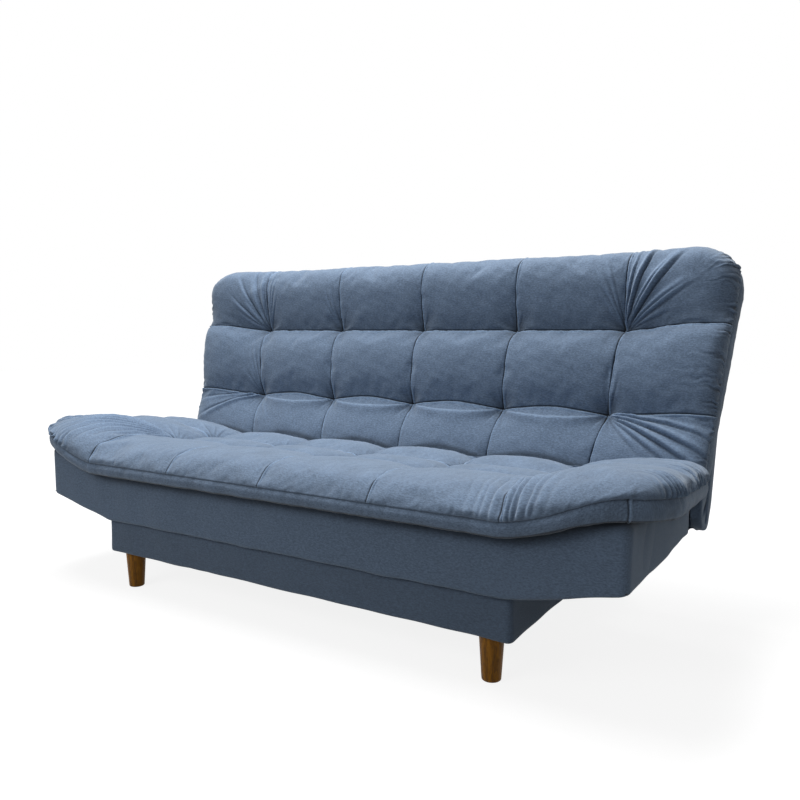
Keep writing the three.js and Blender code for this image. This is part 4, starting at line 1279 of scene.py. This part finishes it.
def rounded_outline(low, high, radius, marks=(), step=14 * MM, turns=6):
    """Points round a rounded rectangle seen from above, anticlockwise, and the way each faces.
    Marks are places along X where the front and rear each get a point."""

    def run(start, end):
        count = max(2, round(abs(end - start) / step))
        even = np.linspace(start, end, count + 1)
        inner = [mark for mark in marks if min(start, end) < mark < max(start, end)]
        return np.array(sorted({*even, *inner}, reverse=end < start))

    places, facings = [], []

    def add(x, y, angle):
        places.append((x, y))
        facings.append((math.cos(angle), math.sin(angle)))

    left, right = low[0] + radius, high[0] - radius
    front, rear = low[1] + radius, high[1] - radius
    corners = (
        (right, front, -math.pi / 2), (right, rear, 0.0),
        (left, rear, math.pi / 2), (left, front, math.pi),
    )
    for index, (x, y, start) in enumerate(corners):
        for turn in range(turns + 1):
            angle = start + math.pi / 2 * turn / turns
            add(x + radius * math.cos(angle), y + radius * math.sin(angle), angle)
        next_x, next_y, facing = corners[(index + 1) % 4]
        if index % 2 == 0:
            count = max(2, round(abs(next_y - y) / step))
            for along in np.linspace(y, next_y, count + 1)[1:-1]:
                add(x + radius * math.cos(facing), along, facing)
        else:
            for along in run(x, next_x)[1:-1]:
                add(along, y + radius * math.sin(facing), facing)
    return np.array(places), np.array(facings)


def wrap(name, places, facings, rows):
    """A band of cloth round a box. Each row gives, for every point round the box, how far inside
    the outline it lies and how high."""
    bm = bmesh.new()
    bmesh.ops.create_circle(bm, segments=len(places), radius=1.0)
    bm.verts.ensure_lookup_table()
    spot = {vertex: index for index, vertex in enumerate(bm.verts)}
    edges = list(bm.edges)
    for number, row in enumerate(rows):
        if number:
            spot, edges = grow_rim(bm, edges, spot)
        inset, height = row(places[:, 0], places[:, 1])
        for vertex, index in spot.items():
            x, y = places[index] - facings[index] * inset
            vertex.co = (x, y, height[index])
    bmesh.ops.recalc_face_normals(bm, faces=bm.faces)
    piece = new_piece(name, bm, "Cover suede")
    towards = normals(piece)[len(places) * (len(rows) // 2)]
    if np.dot(towards[:2], facings[0]) < 0:
        piece.data.flip_normals()
    return piece


def line_cloth(piece, thickness=2.2 * MM):
    """Gives a cover its thickness, inwards, and smooths it."""
    wall = piece.modifiers.new("Thickness", "SOLIDIFY")
    wall.thickness, wall.offset = thickness, -1.0
    subdivide(piece)


def rise_rows(low, high, turn_low, turn_high, hem, count, lift=4.8 * MM):
    """Rows of a wrapped cover from its hem underneath, up the wall, and over the upper edge.

    Low and high are heights as functions of the place. The turns are how far the edges are rounded,
    and the lift is how far the upper hem lies above the wood."""

    def above_low(inset, height):
        return lambda x, y: (inset, low(x, y) + height)

    def above_high(inset, height):
        return lambda x, y: (inset, high(x, y) + height)

    def on_wall(share):
        def placed(x, y):
            start, end = low(x, y) + turn_low, high(x, y) - turn_high
            return 0.0, start + (end - start) * share
        return placed

    return [
        above_low(hem, -0.0012), above_low(turn_low * 1.4, -0.001),
        above_low(turn_low * 0.3, turn_low * 0.25),
        *(on_wall(index / count) for index in range(count + 1)),
        above_high(turn_high * 0.3, -turn_high * 0.25), above_high(turn_high * 1.4, 0.95 * lift),
        above_high(hem, lift),
    ]


class SOFA_OT_seat_cover(Operator):
    """The seat box's cloth: fascia, ends and rear in one band, turned over the rails' edges"""

    bl_idname = "sofa.seat_cover"
    bl_label = "Seat box cover"

    def execute(self, context):
        s = sizes()
        low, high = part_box("seat_cover")
        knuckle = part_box("base_cover")[1].x  # at the plinth's end the underside starts to climb
        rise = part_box("seat_end_rail_right")[0].z - low.z
        at_front = low.y + 0.1

        def underside(x, y):
            on_plinth = (np.abs(x) < knuckle + 0.02) & (y > at_front)
            climb = rise * np.clip((np.abs(x) - knuckle) / (high.x - knuckle), 0, 1)
            return low.z + np.where(on_plinth, 0.0012, -0.0024) + climb

        def top(x, y):
            return box_top(y)

        places, facings = rounded_outline(
            (low.x - 0.001, low.y - 0.001), (high.x + 0.001, high.y + 0.001), 0.018,
            marks=(-knuckle, knuckle),
        )
        rows = rise_rows(underside, top, turn_low=0.006, turn_high=0.006, hem=0.0125, count=11)
        cover = wrap("seat_cover_cloth", places, facings, rows)
        line_cloth(cover)
        x, y, z = points(cover).T
        lie = ripples(x + y, z, wavelength=0.16, height=0.0012, seed=s.seed + 20)
        # Soft upright folds where the cloth turns round the ends
        near_top = bell(box_top(y) - z, 0.05)
        at_end = smoothstep(np.abs(x), 0.80, 0.845)
        upright = ripples(y, 0.15 * z, wavelength=0.06, height=0.0004, seed=s.seed + 21)
        raise_cloth(cover, lie + at_end * near_top * upright)
        # Painted shadow where the pad's front roll hangs over the fascia
        droop = ROLL_DROOP * on_fascia(x) * (y < at_front)
        below_pad = box_top(y) + 0.002 - droop - z
        keep_painted_light(cover, -1.6 * np.exp(-np.clip(below_pad, 0, None) / 0.010))
        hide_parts("seat_cover")
        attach(cover, "base")
        return {"FINISHED"}


class SOFA_OT_base_cover(Operator):
    """The plinth's cloth, stapled underneath"""

    bl_idname = "sofa.base_cover"
    bl_label = "Plinth cover"

    def execute(self, context):
        s = sizes()
        low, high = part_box("base_cover")
        places, facings = rounded_outline(
            (low.x - 0.015, low.y - 0.001), (high.x + 0.015, high.y + 0.001), 0.014,
        )
        rows = rise_rows(
            lambda x, y: np.full_like(x, low.z - 0.011),
            lambda x, y: np.full_like(x, high.z - 0.0006),
            turn_low=0.005, turn_high=0.002, hem=0.014, count=6, lift=0.0003,
        )
        cover = wrap("base_cover_cloth", places, facings, rows)
        cover.data.materials[0] = bpy.data.materials["Shaded plinth suede"]
        line_cloth(cover)
        x, y, z = points(cover).T
        raise_cloth(cover, ripples(x + y, z, wavelength=0.12, height=0.0009, seed=s.seed + 22))
        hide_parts("base_cover")
        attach(cover, "base")
        return {"FINISHED"}


SLIT = (0.816, 0.838)  # from the middle, where the seat's hinge arms come through the back's foot


class SOFA_OT_back_cover(Operator):
    """The backrest's cloth: rear panel, sides, and a sleeve over the foot of each stile"""

    bl_idname = "sofa.back_cover"
    bl_label = "Backrest cover"

    def execute(self, context):
        self.cover_rear()
        for side in ("right", "left"):
            self.sleeve(side)
        return {"FINISHED"}

    def cover_rear(self):
        s = sizes()
        low, high = in_back_frame("back_cover")
        _, rail_high = in_back_frame("back_top_rail")
        rear, front = low[2], rail_high[2]
        foot = low[1] - 0.001

        def border(up):
            """The rear edge is turned tightly, except along the rounded foot."""
            return rear + 0.012 + 0.024 * (1 - smoothstep(up, foot + 0.02, foot + 0.08))

        half = high[0] + 0.006
        form = PadForm(
            halves=(half, half), ends=(foot, high[1] + 0.004), corners=(0.032, 0.009),
            rolls=(0.03, 0.005), roll_side=0.005, tucks=(0.0, 0.0), tuck_side=0.0,
        )
        unsewn = Seams(
            lambda up: np.full_like(up, s.back_spacing), BACK_ROWS, row_depths=(0, 0),
            tuft_depths=(0, 0), column_depth=lambda up: 0 * up, reaches=(1, 1, 1, 1),
        )

        def out_at(flat_x, flat_up, across, up, rise):
            return border(up) + (rear - 0.001 - border(up)) * rise

        def band(inset, out_to):
            """Along the bottom the hem stays behind the frame's front, clear of the hinge arms."""
            return lambda x, y, out, face: (
                x - face[:, 0] * inset, y - face[:, 1] * inset,
                np.where(y < foot + 0.05, np.minimum(out_to, front - 0.004), out_to),
            )

        bands = [
            (0.012, band(0.0, rear + 0.044)),
            (0.04, band(0.0, front - 0.008)), (0.045, band(0.001, front - 0.001)),
            (0.052, band(0.007, front + 0.0035)), (0.07, band(0.026, front + 0.0036)),
        ]
        cover = quilt("back_cover_cloth", form, unsewn, out_at, back_place, bands)
        cover.data.materials[0] = bpy.data.materials["Cover suede"]
        rearmost = np.argmax(points(cover)[:, 1])
        if normals(cover)[rearmost][1] < 0:
            cover.data.flip_normals()
        self.slit_for_hinges(cover, rear, foot)
        line_cloth(cover)
        x, _, z = points(cover).T
        slack = 1 - smoothstep(np.abs(x), high[0] - 0.06, high[0] - 0.01)
        lie = ripples(x, z, wavelength=0.2, height=0.0014, seed=s.seed + 23)
        raise_cloth(cover, slack * lie)
        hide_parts("back_cover")
        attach(cover, "backrest")

    def slit_for_hinges(self, cover, rear, foot):
        """Opens the bottom beside each stile, for the seat's hinge arms when the back lies flat."""
        bm = bmesh.new()
        bm.from_mesh(cover.data)
        centres = np.array([face.calc_center_median() for face in bm.faces])
        across, up, out = to_back_frame(centres).T
        beside_stile = (np.abs(across) > SLIT[0]) & (np.abs(across) < SLIT[1])
        is_open = beside_stile & (up < foot + 0.014) & (out > rear + 0.012)
        opened = [face for face, is_cut in zip(bm.faces, is_open) if is_cut]
        bmesh.ops.delete(bm, geom=opened, context="FACES")
        bm.to_mesh(cover.data)
        bm.free()

    def sleeve(self, side):
        """Fabric over a stile's lower end, padded by a few millimetres on its outer side."""
        low, high = in_back_frame(f"back_stile_{side}")
        padding, clear = 0.005, 0.00015
        if side == "right":
            inner, outer = low[0] - clear, high[0] + padding
        else:
            inner, outer = high[0] + clear, low[0] - padding
        bottom, top, front, rear = low[1] - 0.002, 0.034 + padding, high[2] + 0.002, low[2] - 0.001
        bm = bmesh.new()
        corners = [
            (bm.verts.new((inner, up, out)), radius)
            for up, out, radius in (
                (bottom, rear, 0.036), (bottom, front, 0.055),
                (top, front, 0.016), (top, rear, 0.004),
            )
        ]
        bm.faces.new([vertex for vertex, _ in corners])
        for vertex, radius in corners:
            bmesh.ops.bevel(
                bm, geom=[vertex], offset=radius, affect="VERTICES", segments=7, profile=0.5,
                material=-1,
            )
        grown = bmesh.ops.extrude_face_region(bm, geom=list(bm.faces))["geom"]
        moved = [part for part in grown if isinstance(part, bmesh.types.BMVert)]
        bmesh.ops.translate(bm, vec=(outer - inner, 0, 0), verts=moved)
        bmesh.ops.recalc_face_normals(bm, faces=bm.faces)
        rim = [edge for edge in bm.edges if all(end in moved for end in edge.verts)]
        bmesh.ops.bevel(
            bm, geom=rim, offset=0.007, affect="EDGES", segments=3, profile=0.5, material=-1,
        )
        bmesh.ops.triangulate(bm, faces=[face for face in bm.faces if len(face.verts) > 4])
        sleeve = new_piece(f"back_foot_sleeve_{side}", bm, "Cover suede")
        set_points(sleeve, back_place(*points(sleeve).T))
        bm = bmesh.new()
        bm.from_mesh(sleeve.data)
        bmesh.ops.subdivide_edges(bm, edges=bm.edges, cuts=2, use_grid_fill=True)
        bmesh.ops.recalc_face_normals(bm, faces=bm.faces)
        bm.to_mesh(sleeve.data)
        bm.free()
        sleeve.data.shade_smooth()
        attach(sleeve, "backrest")


# ---------------------------------------------------------------- Finishes of the CAD nodes


FINISH_OF_SLOT = {
    "upholstery": "Cover suede",
    "softwood": "Softwood",
    "plywood": "Plywood",
    "stained_wood": "Stained wood",
    "webbing": "Webbing",
    "bottom_cloth": "Bottom cloth",
    "steel": "Plated steel",
}


class SOFA_OT_frame_finishes(Operator):
    """Gives every kept piece of the frame its finish"""

    bl_idname = "sofa.frame_finishes"
    bl_label = "Frame finishes"

    def execute(self, context):
        slots = {entry["node"]: entry["material_slot"] for entry in frame["record"]["subparts"]}
        for name, piece in frame["nodes"].items():
            finish = FINISH_OF_SLOT[slots[name]]
            if finish == "Softwood":
                finish += self.grain(name)
            for slot in piece.material_slots:
                slot.material = bpy.data.materials[finish]
        return {"FINISHED"}

    @staticmethod
    def grain(name):
        """The grain runs along the board."""
        low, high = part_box(name)
        size = high - low
        if size.z > size.x:
            return " upright"
        return " crosswise" if size.y > size.x else ""


# ---------------------------------------------------------------- Stage


VIEW_LENS = 34.236  # millimetres, on a 36 mm wide sensor
VIEW_PLACE = (1.2083, -1.78181, 0.72395)
VIEW_DOWN, VIEW_TURN = 5.169, 32.075  # degrees below level, and round towards the left
PLAIN_LEVEL = 0.21  # strength of the studio's white light on the sofa


class SOFA_OT_stage(Operator):
    """Camera, floor and soft studio light"""

    bl_idname = "sofa.stage"
    bl_label = "Stage"

    def execute(self, context):
        scene = context.scene
        scene.view_settings.view_transform = "Standard"
        camera = bpy.data.cameras.new("Camera")
        camera.lens, camera.sensor_width = VIEW_LENS, 36
        camera.clip_end = 50
        viewer = bpy.data.objects.new("Camera", camera)
        viewer.location = VIEW_PLACE
        viewer.rotation_euler = (math.radians(90 - VIEW_DOWN), 0, math.radians(VIEW_TURN))
        scene.collection.objects.link(viewer)
        scene.camera = viewer

        floor_material("Pale floor")
        bm = bmesh.new()
        bmesh.ops.create_grid(bm, x_segments=2, y_segments=2, size=12)
        floor = new_piece("Floor", bm, "Pale floor")

        lamp("Overhead", at=(-0.45, 0.22, 3.6), aim=(0, 0.12, 0.4), size=(2.8, 1.5), watts=180)
        lamp("Front fill", at=(-0.9, -3.1, 2.1), aim=(0, 0, 0.4), size=(2.2, 1.0), watts=28)
        lamp("Rear fill", at=(0.8, 3.5, 1.8), aim=(0, 0, 0.5), size=(2.4, 1.2), watts=11)

        world = bpy.data.worlds.new("Studio")
        world.use_nodes = True
        tree = world.node_tree
        background = tree.nodes["Background"]
        background.inputs["Color"].default_value = (1, 1, 1, 1)
        seen = studio_rays(tree)
        strength = node(tree, "ShaderNodeMapRange")
        strength.inputs["To Min"].default_value = PLAIN_LEVEL
        strength.inputs["To Max"].default_value = 1.0
        tree.links.new(seen, strength.inputs["Value"])
        tree.links.new(strength.outputs["Result"], background.inputs["Strength"])
        scene.world = world
        return {"FINISHED"}


def studio_rays(tree):
    """1 for rays that should meet a plain white studio."""
    path = node(tree, "ShaderNodeLightPath")
    total = maths(tree, "MAXIMUM", path.outputs["Is Camera Ray"], path.outputs["Is Glossy Ray"])
    return maths(tree, "MAXIMUM", total, path.outputs["Is Transmission Ray"])


def floor_material(name):
    """Seen as white with the sofa's soft shadow on it; it throws little light back up."""
    made = bpy.data.materials.new(name)
    made.use_nodes = True
    tree = made.node_tree
    principled = tree.nodes["Principled BSDF"]
    for label, value in (
        ("Base Color", (0.22, 0.22, 0.22, 1)), ("Roughness", 0.9), ("Specular IOR Level", 0.0),
        ("Emission Color", (1, 1, 1, 1)),
    ):
        principled.inputs[label].default_value = value
    # Beyond the sofa's shadow the floor runs out to plain white
    place = node(tree, "ShaderNodeTexCoord").outputs["Object"]
    away = node(tree, "ShaderNodeVectorMath", operation="LENGTH")
    tree.links.new(place, away.inputs[0])
    level = spread(tree, away.outputs["Value"], (1.0, 2.8), (0.86, 1.0))
    glow = maths(tree, "MULTIPLY", studio_rays(tree), level)
    tree.links.new(glow, principled.inputs["Emission Strength"])


def lamp(name, at, aim, size, watts):
    """A soft rectangular lamp that shines from one place towards another."""
    panel = bpy.data.lights.new(name, "AREA")
    panel.shape = "RECTANGLE"
    panel.size, panel.size_y = size
    panel.energy = watts
    holder = bpy.data.objects.new(name, panel)
    holder.location = at
    holder.rotation_euler = (Vector(aim) - Vector(at)).to_track_quat("-Z", "Y").to_euler()
    bpy.context.scene.collection.objects.link(holder)


# ---------------------------------------------------------------- Panel and registration


OPERATORS = (
    SOFA_OT_stage,
    SOFA_OT_materials,
    SOFA_OT_back_pad,
    SOFA_OT_seat_pad,
    SOFA_OT_seat_cover,
    SOFA_OT_base_cover,
    SOFA_OT_back_cover,
    SOFA_OT_frame_finishes,
)


class SOFA_PT_panel(Panel):
    """The sofa bed's pieces, sizes and colours"""

    bl_idname = "SOFA_PT_panel"
    bl_label = "Sofa bed"
    bl_space_type = "VIEW_3D"
    bl_region_type = "UI"
    bl_category = "Sofa bed"

    def draw(self, context):
        for settings in (context.scene.sofa_sizes, context.scene.sofa_colours):
            for name in settings.bl_rna.properties.keys():
                if name not in ("rna_type", "name"):
                    self.layout.prop(settings, name)
        for operator in OPERATORS:
            self.layout.operator(operator.bl_idname)


CLASSES = (SofaSizes, SofaColours, *OPERATORS, SOFA_PT_panel)


def register():
    for kind in CLASSES:
        bpy.utils.register_class(kind)
    bpy.types.Scene.sofa_sizes = PointerProperty(type=SofaSizes)
    bpy.types.Scene.sofa_colours = PointerProperty(type=SofaColours)


def unregister():
    del bpy.types.Scene.sofa_sizes
    del bpy.types.Scene.sofa_colours
    for kind in reversed(CLASSES):
        bpy.utils.unregister_class(kind)


def main():
    register()
    for operator in OPERATORS:
        group, name = operator.bl_idname.split(".")
        getattr(getattr(bpy.ops, group), name)()


if __name__ == "__main__":
    main()
